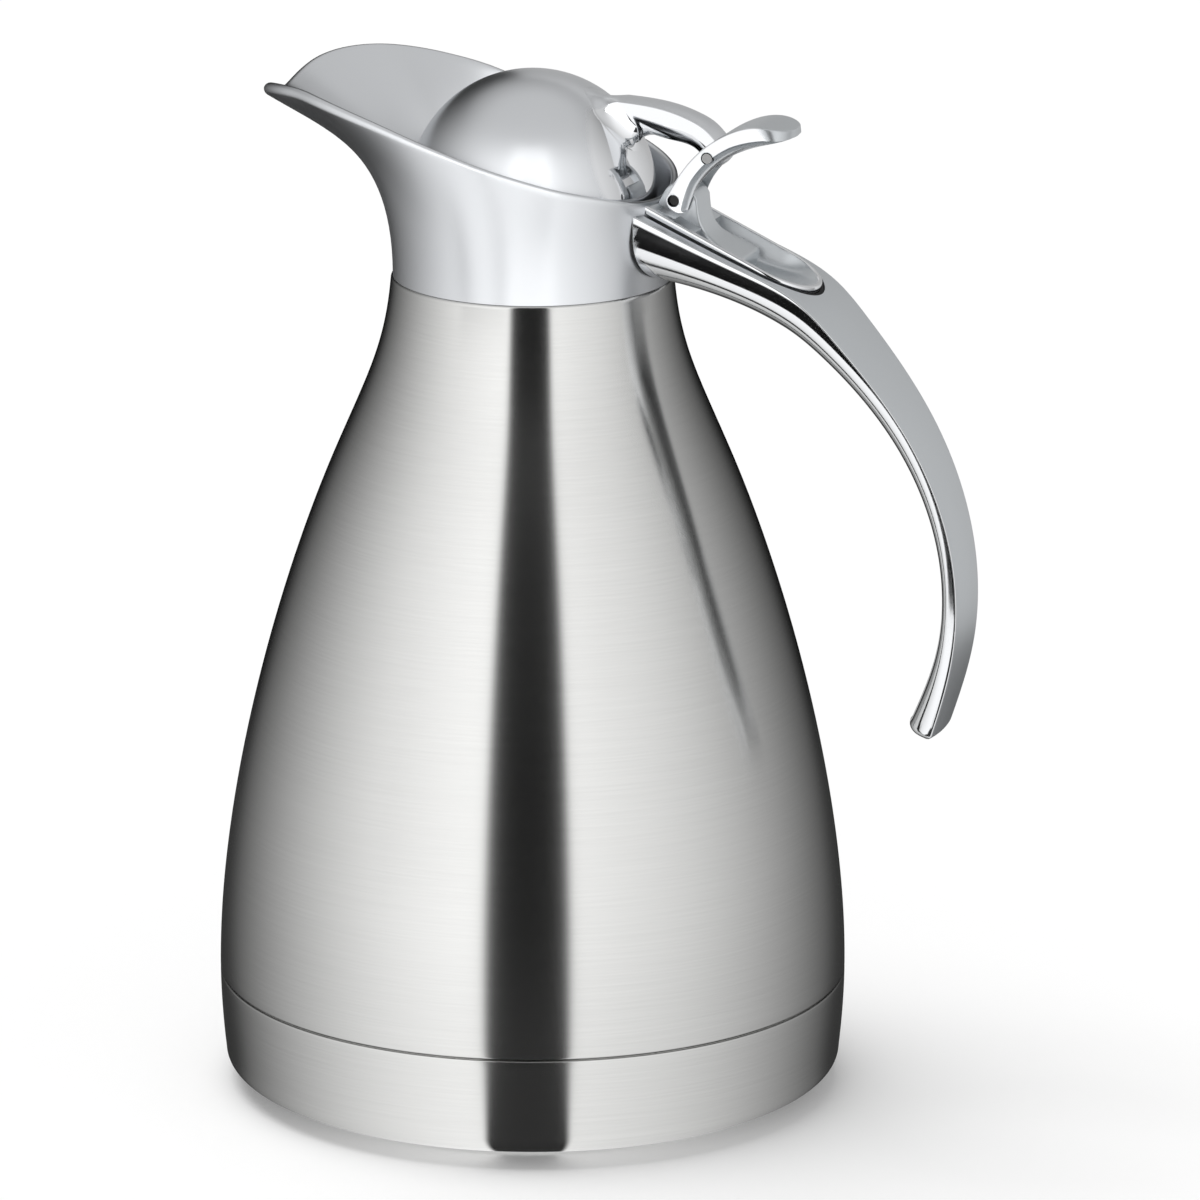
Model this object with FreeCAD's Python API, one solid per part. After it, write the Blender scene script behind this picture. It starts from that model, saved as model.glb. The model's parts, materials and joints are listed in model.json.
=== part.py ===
import FreeCAD, Part
import math
import os
from collections import namedtuple

from FreeCAD import Placement, Rotation, Vector

# Frame: the origin is the centre of the base, +Z is up, +X points to the handle and -X to the spout.
# All lengths are millimetres and all angles degrees.

# Flask body
BASE_RADIUS = 75.2
BAND_TOP = 27.4
NECK_SEAM = 198.0
COLLAR_RADIUS = 33.0
SHOULDER_STEP = 0.5
SHOULDER_ROUND = 1.0
WAIST_RADIUS = 47.0
WAIST_DROP = 43.4
WAIST_LEAN = 23.0
NECK_LEAN = 5.0
BASE_PULL = 40.5
WAIST_PULL_DOWN = 37.2
WAIST_PULL_UP = 19.5
NECK_PULL = 16.7
SEAM_GAP = 0.5
SHELL_WALL = 0.8
FIT = 0.15

# Neck of the flask
NECK_STEP = 3.5
NECK_HEIGHT = 7.0
FLANGE_THICK = 0.8

# Base cup
CUP_WALL = 1.0
BAND_TAPER = 1.2
BAND_BELLY = 0.25
CUP_ROUND = 8.0
CUP_ROUND_DROP = 3.4
HEEL_INSET = 9.2
HEEL_RISE = 2.2
HEEL_PULL = 5.0
FOOT_INSET = 16.7
FOOT_WIDTH = 5.0
FOOT_RECESS = 2.0
SKIRT_LOW = 10.0

# Vacuum jacket
VACUUM_GAP = 6.0
LINER_FLOOR = 19.0
LINER_CORNER = 13.0
LINER_STAND = 1.0
VACUUM_FLANGE = 4.0
VACUUM_FLOOR_RISE = 2.0
SEAL_RADIUS = 4.0
SEAL_STEM_RADIUS = 1.2
SEAL_THICK = 1.4
GETTER_RADIUS = 6.0
GETTER_THICK = 2.0
GETTER_OFFSET = 30.0

# Collar and spout
COLLAR_WALL = 1.6
LIP_SWELL = 0.8
SPOUT_REACH = 65.4
SPOUT_HALF_WIDTH = 36.6
RIM_RISE = 32.6
RIM_SLOPE = 0.352
TIP_DIP = 15.3
TIP_DIP_POWER = 3.2
SPOUT_ROOT_PULL = 19.0
SPOUT_LIP_RUN = 21.0
SPOUT_LIP_RISE = 5.5
SIDE_LIP_RISE = 10.0
COLLAR_SECTIONS = 24
DECK_THICK = 2.5
DECK_LAND = 7.0
GASKET_THICK = 1.5
GASKET_WIDTH = 2.8

# Pour seat
SEAT_FLANGE_WIDTH = 3.5
SEAT_FLANGE_THICK = 1.5
SEAT_WALL = 2.0
SEAT_TAPER = 3.5
SEAT_DEPTH = 8.0
RING_THICK = 0.6

# Lid
LID_GAP = 2.0
DOME_WALL = 1.6
DOME_SKIRT = 3.7
BOSS_RADIUS = 5.0
BOSS_DROP = 23.0
STOPPER_FLANGE = 2.0
STOPPER_GAP = 1.7
STOPPER_TAPER = 5.3
STOPPER_DEPTH = 9.0
SEAL_CLEARANCE = 0.3
SEAL_RING_THICK = 1.5
SEAL_RING_WIDTH = 5.8
LID_SCREW_GRIP = 7.0
LID_SCREW_RECESS = 1.2

# Hinge pins: the lower one carries the lid, the upper one ties the arm to the lever
HINGE_SETBACK = 4.7
HINGE_RISE = 22.1
PIN_SPAN_X = 8.2
PIN_SPAN_Z = 10.7
PIN_RADIUS = 1.2
PIN_CLEARANCE = 0.05
PIN_PRESS = 0.02
HINGE_PIN_RECESS = 0.9

# Arm of the lid: points of its top line and underside, seen from the hinge pin
ARM_WIDTH = 8.6
ARM_CROWN = 2.4
ARM_ROOT_ROUND = 5.0
KNUCKLE_RADIUS = 3.2
ARM_TOP = [(-28.0, 23.5), (-20.2, 22.0), (-12.7, 21.2), (-3.4, 20.5), (2.3, 19.2), (6.3, 17.4)]
ARM_UNDER = [(3.3, 11.3), (-2.7, 12.9), (-9.2, 14.2), (-15.7, 14.4)]

# Thumb lever: points of its upper and lower line, seen from the hinge pin
LEVER_WIDTH = 16.0
LEVER_SLOT = 10.6
LEVER_SLOT_REST = 5.3
SLOT_CLEARANCE = 0.5
LEVER_TOP = [(-1.9, 0.8), (2.3, 7.6), (6.8, 12.6), (11.6, 16.0), (19.8, 18.8), (27.6, 17.8)]
LEVER_LOW = [(27.6, 16.1), (22.7, 15.5), (15.6, 12.5), (10.2, 8.9), (5.0, 3.0), (2.8, -2.4)]
LEVER_HEEL = (-0.7, -2.3)
PAD_CORNER = 6.5
LEVER_EDGE_ROUND = 0.6
LEVER_BEVEL = 2.2
LEVER_BEVEL_SHARES = [0.0, 0.3, 0.42, 0.42, 0.38, 0.2]

# Saddle with thumb cup and hinge tower
SADDLE_TILT = 24.7
SADDLE_SETBACK = 0.7
SADDLE_RISE = 20.2
SADDLE_WIDTH = 22.0
SADDLE_LENGTH = 41.5
SADDLE_NOSE = 12.5
SADDLE_DEPTH = 6.4
SADDLE_STAND = 0.9
SADDLE_WALL = 1.3
SADDLE_LEDGE = 0.8
CUP_START = 11.0
CUP_STEP = 24.0
CUP_DEPTH = 5.2
CUP_SWEEP = 6.0
TOWER_RADIUS = 3.6
TOWER_REAR = 4.4
TOWER_SHOULDER = 2.0
TOWER_ROUND = 1.2
PLATFORM_DROP = 1.4
PLATFORM_WIDTH = 14.0
PLATFORM_CORNER = 1.5
PLATFORM_ROUND = 0.8
LEVER_ROOM = 4.3
LEVER_SIDE_ROOM = 0.4
SADDLE_GASKET = 1.0
OVAL_PULL = 0.5523

# Handle: stations along its outer line, from the collar to the free end, in hundredths of its reach
HANDLE_REACH = 74.0
HANDLE_GASKET = 1.0
HANDLE_CROWN = 0.5
HANDLE_SIDE_PULL = 0.8
HANDLE_KEEL_PULL = 0.6
HANDLE_END_ROUND = 1.4
HANDLE_SECTIONS = 18
Station = namedtuple("Station", "reach rise half_width depth")
HANDLE_STATIONS = [
    Station(reach=-4.1, rise=25.8, half_width=20.9, depth=23.0),
    Station(reach=29.7, rise=11.5, half_width=19.5, depth=13.5),
    Station(reach=50.7, rise=1.8, half_width=18.4, depth=11.6),
    Station(reach=62.4, rise=-8.8, half_width=17.3, depth=9.7),
    Station(reach=86.1, rise=-39.9, half_width=14.2, depth=7.0),
    Station(reach=99.7, rise=-78.0, half_width=12.2, depth=5.9),
    Station(reach=100.0, rise=-110.8, half_width=11.6, depth=6.4),
    Station(reach=92.4, rise=-137.6, half_width=10.3, depth=8.4),
]

# Small screws
SCREW_RADIUS = 1.5
SCREW_HEAD_RADIUS = 2.6
SCREW_HEAD_DEPTH = 1.2
COLLAR_SCREW_LENGTH = 8.0
COLLAR_SCREW_SPREAD = 12.0
COLLAR_SCREW_RISE = 15.3
HANDLE_SCREW_LENGTH = 6.0
HANDLE_SCREW_GRIP = 2.0
HANDLE_SCREW_SHARE = 0.5
SCREW_CLEARANCE = 0.1

# Sizes that follow from the ones above
NECK_RADIUS = COLLAR_RADIUS - NECK_STEP
SHOULDER_RADIUS = COLLAR_RADIUS + SHOULDER_STEP
CUP_WAIST_RADIUS = BASE_RADIUS - BAND_TAPER
HEEL_RADIUS = BASE_RADIUS - HEEL_INSET
FOOT_OUTER = BASE_RADIUS - FOOT_INSET
FOOT_INNER = FOOT_OUTER - FOOT_WIDTH
LINER_JOIN = LINER_FLOOR + LINER_CORNER + LINER_STAND
WALL_MIDDLE = COLLAR_RADIUS - COLLAR_WALL / 2
DECK_HOLE_RADIUS = NECK_RADIUS - DECK_LAND
SEAT_FLANGE_RADIUS = DECK_HOLE_RADIUS + SEAT_FLANGE_WIDTH
SEAT_TOP_RADIUS = DECK_HOLE_RADIUS - SEAT_WALL
STOPPER_TOP_RADIUS = SEAT_TOP_RADIUS - STOPPER_GAP
DOME_RADIUS = COLLAR_RADIUS - COLLAR_WALL - LID_GAP
NECK_TOP = NECK_SEAM + NECK_HEIGHT
FLANGE_TOP = NECK_TOP + FLANGE_THICK
DECK_LOW = FLANGE_TOP + GASKET_THICK
DECK_TOP = DECK_LOW + DECK_THICK
SEAT_TOP = DECK_TOP + RING_THICK + SEAT_FLANGE_THICK
SEAL_LOW = SEAT_TOP + SEAL_CLEARANCE
STOPPER_SEAT = SEAL_LOW + SEAL_RING_THICK
STOPPER_LOW = STOPPER_SEAT - STOPPER_DEPTH
DOME_CENTRE = Vector(0, 0, STOPPER_SEAT + DOME_SKIRT)
BOSS_LOW = DOME_CENTRE.z + DOME_RADIUS - BOSS_DROP
HINGE = Vector(COLLAR_RADIUS + HINGE_SETBACK, 0, NECK_SEAM + HINGE_RISE)
ARM_PIN = HINGE + Vector(PIN_SPAN_X, 0, PIN_SPAN_Z)
SADDLE_FRONT = Vector(COLLAR_RADIUS + SADDLE_SETBACK, 0, NECK_SEAM + SADDLE_RISE)
SADDLE_PLACE = Placement(SADDLE_FRONT, Rotation(Vector(0, 1, 0), SADDLE_TILT))
UP = Vector(0, 0, 1)
ACROSS = Vector(0, 1, 0)
BACK = Vector(1, 0, 0)


def at(radius, height):
    return Vector(radius, 0, height)


def line(start, end):
    return Part.LineSegment(start, end).toShape()


def arc(start, middle, end):
    return Part.Arc(start, middle, end).toShape()


def bezier(*poles):
    curve = Part.BezierCurve()
    curve.setPoles(list(poles))
    return curve.toShape()


def spline(points):
    curve = Part.BSplineCurve()
    curve.interpolate(points)
    return curve.toShape()


def chain(*points):
    return [line(a, b) for a, b in zip(points, points[1:])]


def from_hinge(pairs):
    return [HINGE + at(x, z) for x, z in pairs]


def face_of(edges):
    return Part.Face(Part.Wire(Part.__sortEdges__(edges)))


def turned(edges):
    """Solid of revolution about the flask's axis from a closed half section."""
    return face_of(edges).revolve(Vector(), UP, 360)


def across(edges, width):
    """Solid of the given width about the middle plane from a closed side view."""
    solid = face_of(edges).extrude(ACROSS * width)
    solid.translate(ACROSS * (-width / 2))
    return solid


def ring(inner, outer, low, high):
    tube = Part.makeCylinder(outer, high - low, at(0, low))
    return tube.cut(Part.makeCylinder(inner, high - low, at(0, low)))


def bar(radius, centre, length):
    """Round bar across the middle plane."""
    return Part.makeCylinder(radius, length, centre - ACROSS * (length / 2), ACROSS)


def countersunk(start, direction, length, clearance=0.0):
    """Screw, or the hole for one, with its flat head at start."""
    wide = SCREW_HEAD_RADIUS + clearance
    slim = SCREW_RADIUS + clearance
    head = Part.makeCone(wide, slim, SCREW_HEAD_DEPTH, start, direction)
    shank = Part.makeCylinder(slim, length + clearance, start, direction)
    return head.fuse(shank).removeSplitter()


def largest(shape):
    return max(shape.Solids, key=lambda solid: solid.Volume)


def flank(inset, start):
    """Side of the flask, moved in by inset, from the height start up to the neck."""
    base = at(BASE_RADIUS - inset, start)
    waist = at(WAIST_RADIUS - inset, NECK_SEAM - WAIST_DROP)
    neck = at(SHOULDER_RADIUS - inset, NECK_SEAM - SHOULDER_ROUND)
    lean = math.radians(WAIST_LEAN)
    along = at(-math.sin(lean), math.cos(lean))
    lean = math.radians(NECK_LEAN)
    along_neck = at(-math.sin(lean), math.cos(lean))
    low = bezier(base, base + UP * BASE_PULL, waist - along * WAIST_PULL_DOWN, waist)
    high = bezier(waist, waist + along * WAIST_PULL_UP, neck - along_neck * NECK_PULL, neck)
    return [low, high], base, neck


def skirt_radius(height):
    """Outer radius of the shell's hidden skirt, which follows the base cup's inner wall."""
    share = (height - CUP_ROUND) / (BAND_TOP - CUP_ROUND)
    return CUP_WAIST_RADIUS + share * (BASE_RADIUS - CUP_WAIST_RADIUS) - CUP_WALL - FIT


def make_outer_shell():
    edge = BAND_TOP + SEAM_GAP
    outer, outer_base, outer_neck = flank(0, edge)
    inner, inner_base, inner_neck = flank(SHELL_WALL, edge + SHELL_WALL)
    turn = SHOULDER_ROUND * (1 - math.sqrt(0.5))
    crest = at(outer_neck.x - SHOULDER_ROUND, NECK_SEAM)
    shoulder = arc(outer_neck, at(outer_neck.x - turn, NECK_SEAM - turn), crest)
    neck_in = NECK_RADIUS - SHELL_WALL
    neck = chain(crest, at(NECK_RADIUS, NECK_SEAM), at(NECK_RADIUS, NECK_TOP), at(neck_in, NECK_TOP),
                 at(neck_in, inner_neck.z), inner_neck)
    low = skirt_radius(SKIRT_LOW)
    high = skirt_radius(BAND_TOP)
    skirt = chain(outer_base, at(high, edge), at(low, SKIRT_LOW), at(low - SHELL_WALL, SKIRT_LOW),
                  at(high - SHELL_WALL, edge + SHELL_WALL), inner_base)
    return turned(outer + [shoulder] + neck + inner + skirt)


def make_base_cup():
    top = at(BASE_RADIUS, BAND_TOP)
    waist = at(CUP_WAIST_RADIUS, CUP_ROUND)
    heel = at(HEEL_RADIUS, HEEL_RISE)
    foot = at(FOOT_OUTER, 0)
    drop = at(0, -CUP_ROUND_DROP)
    pull = (heel - foot).normalize() * HEEL_PULL
    inward = at(-CUP_WALL, 0)
    lift = at(0, CUP_WALL)
    middle = (top + waist) * 0.5 + at(BAND_BELLY, 0)
    outer = [arc(top, middle, waist), bezier(waist, waist + drop, heel + pull, heel)]
    waist = waist + inward
    inner = [line(top + inward, waist), bezier(waist, waist + drop, heel + lift + pull, heel + lift)]
    recess = at(FOOT_INNER - FOOT_RECESS, FOOT_RECESS)
    under = chain(heel, foot, at(FOOT_INNER, 0), recess, at(0, FOOT_RECESS), at(0, FOOT_RECESS + CUP_WALL),
                  recess + lift, at(FOOT_INNER, CUP_WALL), foot + lift, heel + lift)
    return turned(outer + under + inner + [line(top, top + inward)])


def make_inner_liner():
    outer, outer_base, outer_neck = flank(SHELL_WALL + VACUUM_GAP, LINER_JOIN)
    inner, inner_base, inner_neck = flank(2 * SHELL_WALL + VACUUM_GAP, LINER_JOIN)
    flange = chain(outer_neck, at(outer_neck.x, NECK_TOP), at(NECK_RADIUS, NECK_TOP),
                   at(NECK_RADIUS, FLANGE_TOP), at(inner_neck.x, FLANGE_TOP), inner_neck)
    return turned(outer + flange + inner + [line(inner_base, outer_base)])


def dish(radius, floor, corner):
    """Half section of a dish from its upright edge, round the corner, to the middle of its floor."""
    turn = corner * math.sqrt(0.5)
    bend = at(radius - corner, floor + corner)
    start = at(radius, floor + corner)
    end = at(radius - corner, floor)
    wall = line(at(radius, LINER_JOIN), start)
    return [wall, arc(start, bend + at(turn, -turn), end), line(end, at(0, floor))]


def make_liner_floor():
    radius = BASE_RADIUS - SHELL_WALL - VACUUM_GAP
    outer = dish(radius, LINER_FLOOR, LINER_CORNER)
    inner = dish(radius - SHELL_WALL, LINER_FLOOR + SHELL_WALL, LINER_CORNER - SHELL_WALL)
    joint = line(at(radius, LINER_JOIN), at(radius - SHELL_WALL, LINER_JOIN))
    middle = line(at(0, LINER_FLOOR), at(0, LINER_FLOOR + SHELL_WALL))
    return turned(outer + inner + [joint, middle])


def make_vacuum_floor():
    radius = skirt_radius(SKIRT_LOW) - SHELL_WALL - FIT
    inside = radius - SHELL_WALL
    floor = SKIRT_LOW + VACUUM_FLOOR_RISE
    step = VACUUM_FLOOR_RISE + SHELL_WALL
    hole = SEAL_STEM_RADIUS + FIT
    high = SKIRT_LOW + VACUUM_FLANGE
    section = chain(at(radius, SKIRT_LOW), at(radius, high), at(inside, high),
                    at(inside, SKIRT_LOW + SHELL_WALL), at(radius - step, SKIRT_LOW + SHELL_WALL),
                    at(radius - 2 * step, floor + SHELL_WALL), at(hole, floor + SHELL_WALL), at(hole, floor),
                    at(radius - 2 * step, floor), at(radius - step, SKIRT_LOW), at(radius, SKIRT_LOW))
    return turned(section)


def make_evacuation_seal():
    floor = SKIRT_LOW + VACUUM_FLOOR_RISE
    disc = Part.makeCylinder(SEAL_RADIUS, SEAL_THICK, at(0, floor - SEAL_THICK))
    return disc.fuse(Part.makeCylinder(SEAL_STEM_RADIUS, SHELL_WALL, at(0, floor))).removeSplitter()


def make_getter():
    return Part.makeCylinder(GETTER_RADIUS, GETTER_THICK, at(GETTER_OFFSET, LINER_FLOOR - GETTER_THICK))


def make_neck_gasket():
    return ring(NECK_RADIUS - GASKET_WIDTH, NECK_RADIUS, FLANGE_TOP, DECK_LOW)


def rim_point(turn):
    """Point on the middle of the rim, an oval that is never inside the collar; turn is zero at the tip."""
    forward = math.cos(math.radians(turn))
    length = (SPOUT_REACH + WALL_MIDDLE) / 2
    x = WALL_MIDDLE - length - length * forward
    y = SPOUT_HALF_WIDTH * math.sin(math.radians(turn))
    size = max(1.0, WALL_MIDDLE / math.hypot(x, y))
    dip = TIP_DIP * max(0.0, forward) ** TIP_DIP_POWER
    return Vector(x * size, y * size, NECK_SEAM + RIM_RISE - RIM_SLOPE * x * size - dip)


def collar_section(turn):
    """Wall section of the collar under one point of the rim: outer side, round lip and inner side."""
    rim = rim_point(turn)
    radius = math.hypot(rim.x, rim.y)
    flare = (radius - WALL_MIDDLE) / (SPOUT_REACH - WALL_MIDDLE)
    crest = at(radius, rim.z)
    pull = crest - at(flare * SPOUT_LIP_RUN, flare * SPOUT_LIP_RISE + (1 - flare) * SIDE_LIP_RISE)
    slant = (crest - pull).normalize() * ((COLLAR_WALL + flare * LIP_SWELL) / 2)
    normal = at(-slant.z, slant.x)
    root = at(COLLAR_RADIUS, NECK_SEAM)
    rise = root + UP * SPOUT_ROOT_PULL
    inward = at(-COLLAR_WALL, 0)

    def place(point):
        return Vector(point.x * rim.x / radius, point.x * rim.y / radius, point.z)

    lip = crest - slant
    outer_side = bezier(place(root), place(rise), place(pull - normal), place(lip - normal))
    edge = arc(place(lip - normal), place(crest), place(lip + normal))
    inner_side = bezier(place(lip + normal), place(pull + normal), place(rise + inward), place(root + inward))
    return Part.Wire([outer_side, edge, inner_side, line(place(root + inward), place(root))])


def make_spout_collar():
    sections = [collar_section(360.0 * i / COLLAR_SECTIONS) for i in range(COLLAR_SECTIONS)]
    wall = Part.makeLoft(sections, True, False, True)
    deck = ring(DECK_HOLE_RADIUS, WALL_MIDDLE, DECK_LOW, DECK_TOP)
    socket = ring(NECK_RADIUS + FIT, WALL_MIDDLE, DECK_LOW - NECK_HEIGHT, DECK_LOW)
    collar = wall.fuse([deck, socket]).removeSplitter()
    return collar.cut(collar_screws(SCREW_CLEARANCE))


def make_seat_ring():
    return ring(DECK_HOLE_RADIUS + FIT, SEAT_FLANGE_RADIUS, DECK_TOP, DECK_TOP + RING_THICK)


def make_pour_seat():
    flange_low = DECK_TOP + RING_THICK
    sleeve = DECK_HOLE_RADIUS - FIT
    low = SEAT_TOP - SEAT_DEPTH
    section = chain(at(SEAT_TOP_RADIUS, SEAT_TOP), at(SEAT_FLANGE_RADIUS, SEAT_TOP),
                    at(SEAT_FLANGE_RADIUS, flange_low), at(sleeve, flange_low), at(sleeve, low),
                    at(SEAT_TOP_RADIUS - SEAT_TAPER, low), at(SEAT_TOP_RADIUS, SEAT_TOP))
    return turned(section)


def collar_screws(clearance=0.0):
    """Two screws, or their holes, from inside the collar into the front of the saddle."""
    side = COLLAR_SCREW_SPREAD / 2
    x = math.sqrt((COLLAR_RADIUS - COLLAR_WALL) ** 2 - side ** 2)
    places = [Vector(x, y, NECK_SEAM + COLLAR_SCREW_RISE) for y in (-side, side)]
    return Part.makeCompound([countersunk(place, BACK, COLLAR_SCREW_LENGTH, clearance) for place in places])


def collar_core(gap):
    return Part.makeCylinder(COLLAR_RADIUS + gap, 2 * NECK_SEAM)


def handle_section(origin, normal, half_width, depth):
    """Section of the handle: crowned outer face with crisp edges over a rounded keel."""
    def place(y, n):
        return origin + ACROSS * y + normal * n
    right = place(half_width, -HANDLE_CROWN)
    left = place(-half_width, -HANDLE_CROWN)
    keel = place(0, -depth)
    side = -depth * HANDLE_SIDE_PULL
    pull = half_width * HANDLE_KEEL_PULL
    return Part.Wire([arc(left, origin, right),
                      bezier(right, place(half_width, side), place(pull, -depth), keel),
                      bezier(keel, place(-pull, -depth), place(-half_width, side), left)])


def handle_blank():
    """Handle before it is fitted: a loft of sections along the outer line."""
    unit = HANDLE_REACH / 100
    start = at(COLLAR_RADIUS, NECK_SEAM)
    points = [start + at(s.reach, s.rise) * unit for s in HANDLE_STATIONS]
    path = spline(points)
    knots = [path.Curve.parameter(point) for point in points]
    sizes = Part.BSplineCurve()
    sizes.interpolate(Points=[at(s.half_width, s.depth) * unit for s in HANDLE_STATIONS], Parameters=knots)
    sections = []
    for i in range(HANDLE_SECTIONS + 1):
        share = knots[-1] * i / HANDLE_SECTIONS
        normal = path.tangentAt(share).cross(ACROSS)
        size = sizes.value(share)
        sections.append(handle_section(path.valueAt(share), normal, size.x, size.z))
    return Part.makeLoft(sections, True)


def make_handle():
    blank = handle_blank()
    flats = [f for f in blank.Faces if f.Surface.TypeId == "Part::GeomPlane"]
    end = min(flats, key=lambda f: f.CenterOfMass.z)
    handle = blank.makeFillet(HANDLE_END_ROUND, end.Edges)
    handle = handle.cut(collar_core(HANDLE_GASKET)).cut(saddle_block(SADDLE_GASKET + FIT))
    return largest(handle.cut([handle_screw(SCREW_CLEARANCE), screw_bore()]))


def make_handle_gasket():
    root = handle_blank().common(collar_core(HANDLE_GASKET - FIT))
    return largest(root.cut([collar_core(FIT), saddle_block(FIT)]))


def on_saddle(shape):
    """Put a shape drawn level, from the saddle's front edge, on the sloping saddle."""
    shape.Placement = SADDLE_PLACE.multiply(shape.Placement)
    return shape


def saddle_outline(half_width, start, end, nose):
    """Plan of the saddle: straight sides and a half-oval rear end."""
    side = end - nose
    middle = side + nose * OVAL_PULL
    edge = half_width * OVAL_PULL
    tip = Vector(end, 0, 0)
    right = bezier(Vector(side, -half_width, 0), Vector(middle, -half_width, 0), Vector(end, -edge, 0), tip)
    left = bezier(tip, Vector(end, edge, 0), Vector(middle, half_width, 0), Vector(side, half_width, 0))
    sides = chain(Vector(side, half_width, 0), Vector(start, half_width, 0), Vector(start, -half_width, 0),
                  Vector(side, -half_width, 0))
    return face_of([right, left] + sides)


def saddle_block(grow=0.0):
    """Outer block of the saddle, or the pocket that takes it, from inside the collar to the rear end."""
    start = -COLLAR_RADIUS / 2
    plan = saddle_outline(SADDLE_WIDTH / 2 + grow, start, SADDLE_LENGTH + grow, SADDLE_NOSE + grow)
    block = plan.extrude(UP * SADDLE_DEPTH)
    block.translate(UP * -SADDLE_DEPTH)
    return on_saddle(block)


def cup_hollow():
    """Thumb cup: narrow at the tower, wider towards the rear, with a floor that rises to the rear rim."""
    wide = SADDLE_WIDTH / 2 - SADDLE_WALL
    end = SADDLE_LENGTH - SADDLE_WALL
    nose = SADDLE_NOSE - SADDLE_WALL
    front = saddle_outline(wide - SADDLE_LEDGE, CUP_START, end - SADDLE_LEDGE, nose - SADDLE_LEDGE)
    plan = front.fuse(saddle_outline(wide, CUP_STEP, end, nose)).removeSplitter()
    column = plan.extrude(UP * (2 * CUP_DEPTH))
    column.translate(UP * -CUP_DEPTH)
    rim = at(CUP_START, 0)
    floor = at(CUP_START + CUP_SWEEP, -CUP_DEPTH)
    side = [bezier(rim, at(CUP_START, -CUP_DEPTH), floor),
            bezier(floor, at(end - nose / 2, -CUP_DEPTH), at(end, 0))]
    side += chain(at(end, 0), at(end, CUP_DEPTH), at(CUP_START, CUP_DEPTH), rim)
    return on_saddle(column.common(across(side, SADDLE_WIDTH)))


def tower_width():
    return LEVER_SLOT - 2 * SLOT_CLEARANCE


def hinge_tower():
    """Lug between the lever's cheeks, round about the hinge pin, whose rear sweeps into the platform."""
    pin = SADDLE_PLACE.inverse().multVec(HINGE)
    front = pin + at(-TOWER_RADIUS, 0)
    crown = pin + at(0, TOWER_RADIUS)
    rear = pin + at(TOWER_REAR, TOWER_SHOULDER)
    bend = at(CUP_START, -PLATFORM_DROP)
    foot = at(CUP_START + CUP_SWEEP, -PLATFORM_DROP)
    turn = TOWER_RADIUS * math.sqrt(0.5)
    sweep = bezier(rear, bend, foot)
    side = [arc(front, pin + at(-turn, turn), crown), line(crown, rear), sweep]
    side += chain(foot, at(foot.x, -SADDLE_DEPTH), at(front.x, -SADDLE_DEPTH), front)
    tower = across(side, tower_width())
    edges = [e for e in tower.Edges if e.BoundBox.YLength < FIT and abs(e.Length - sweep.Length) < FIT]
    return on_saddle(tower.makeFillet(TOWER_ROUND, edges))


def tower_platform():
    """Raised floor behind the tower, which widens from the tower to the thumb cup."""
    narrow = tower_width() / 2
    wide = PLATFORM_WIDTH / 2
    bend = (CUP_START + CUP_STEP) / 2
    side = [Vector(CUP_START, narrow, 0), Vector(bend, narrow, 0), Vector(bend, wide, 0),
            Vector(CUP_STEP, wide, 0)]
    other = [Vector(p.x, -p.y, 0) for p in side]
    plan = face_of([bezier(*side), line(side[-1], other[-1]), bezier(*other), line(other[0], side[0])])
    platform = plan.extrude(UP * (SADDLE_DEPTH - PLATFORM_DROP))
    platform.translate(UP * -SADDLE_DEPTH)
    corners = [e for e in platform.Edges if e.BoundBox.XMin > bend and e.BoundBox.YLength < FIT]
    platform = platform.makeFillet(PLATFORM_CORNER, corners)
    top = max(platform.Faces, key=lambda f: f.CenterOfMass.z)
    return on_saddle(platform.makeFillet(PLATFORM_ROUND, [e for e in top.Edges if e.BoundBox.XMax > bend]))


def screw_seat():
    """Place of the handle screw's head, under the saddle and inside the handle."""
    return at(SADDLE_LENGTH * HANDLE_SCREW_SHARE, -SADDLE_DEPTH - HANDLE_SCREW_GRIP)


def handle_screw(clearance=0.0):
    """Screw, or its hole, from inside the handle up into the saddle."""
    return on_saddle(countersunk(screw_seat(), UP, HANDLE_SCREW_LENGTH, clearance))


def screw_bore():
    """Bore in the underside of the handle that takes the screw's head."""
    radius = SCREW_HEAD_RADIUS + SCREW_CLEARANCE
    return on_saddle(Part.makeCylinder(radius, SADDLE_LENGTH, screw_seat(), UP * -1))


def make_hinge_saddle():
    room = bar(LEVER_ROOM, HINGE, LEVER_WIDTH + 2 * LEVER_SIDE_ROOM)
    saddle = saddle_block().cut([cup_hollow(), room]).fuse([hinge_tower(), tower_platform()]).removeSplitter()
    pin_hole = bar(PIN_RADIUS + PIN_PRESS, HINGE, SADDLE_WIDTH)
    screws = [collar_screws(SCREW_CLEARANCE), handle_screw(SCREW_CLEARANCE)]
    return largest(saddle.cut([collar_core(FIT), pin_hole] + screws))


def make_saddle_gasket():
    above = Part.makeBox(2 * SADDLE_LENGTH, 2 * SADDLE_WIDTH, SADDLE_DEPTH,
                         Vector(-SADDLE_LENGTH / 2, -SADDLE_WIDTH, -SADDLE_STAND))
    block = saddle_block(SADDLE_GASKET).common(handle_blank())
    return largest(block.cut([saddle_block(FIT), on_saddle(above), collar_core(HANDLE_GASKET),
                              handle_screw(SCREW_CLEARANCE)]))


def make_hinge_pin():
    return bar(PIN_RADIUS, HINGE, LEVER_WIDTH - 2 * HINGE_PIN_RECESS)


def make_arm_pin():
    return bar(PIN_RADIUS, ARM_PIN, LEVER_WIDTH)


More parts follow.
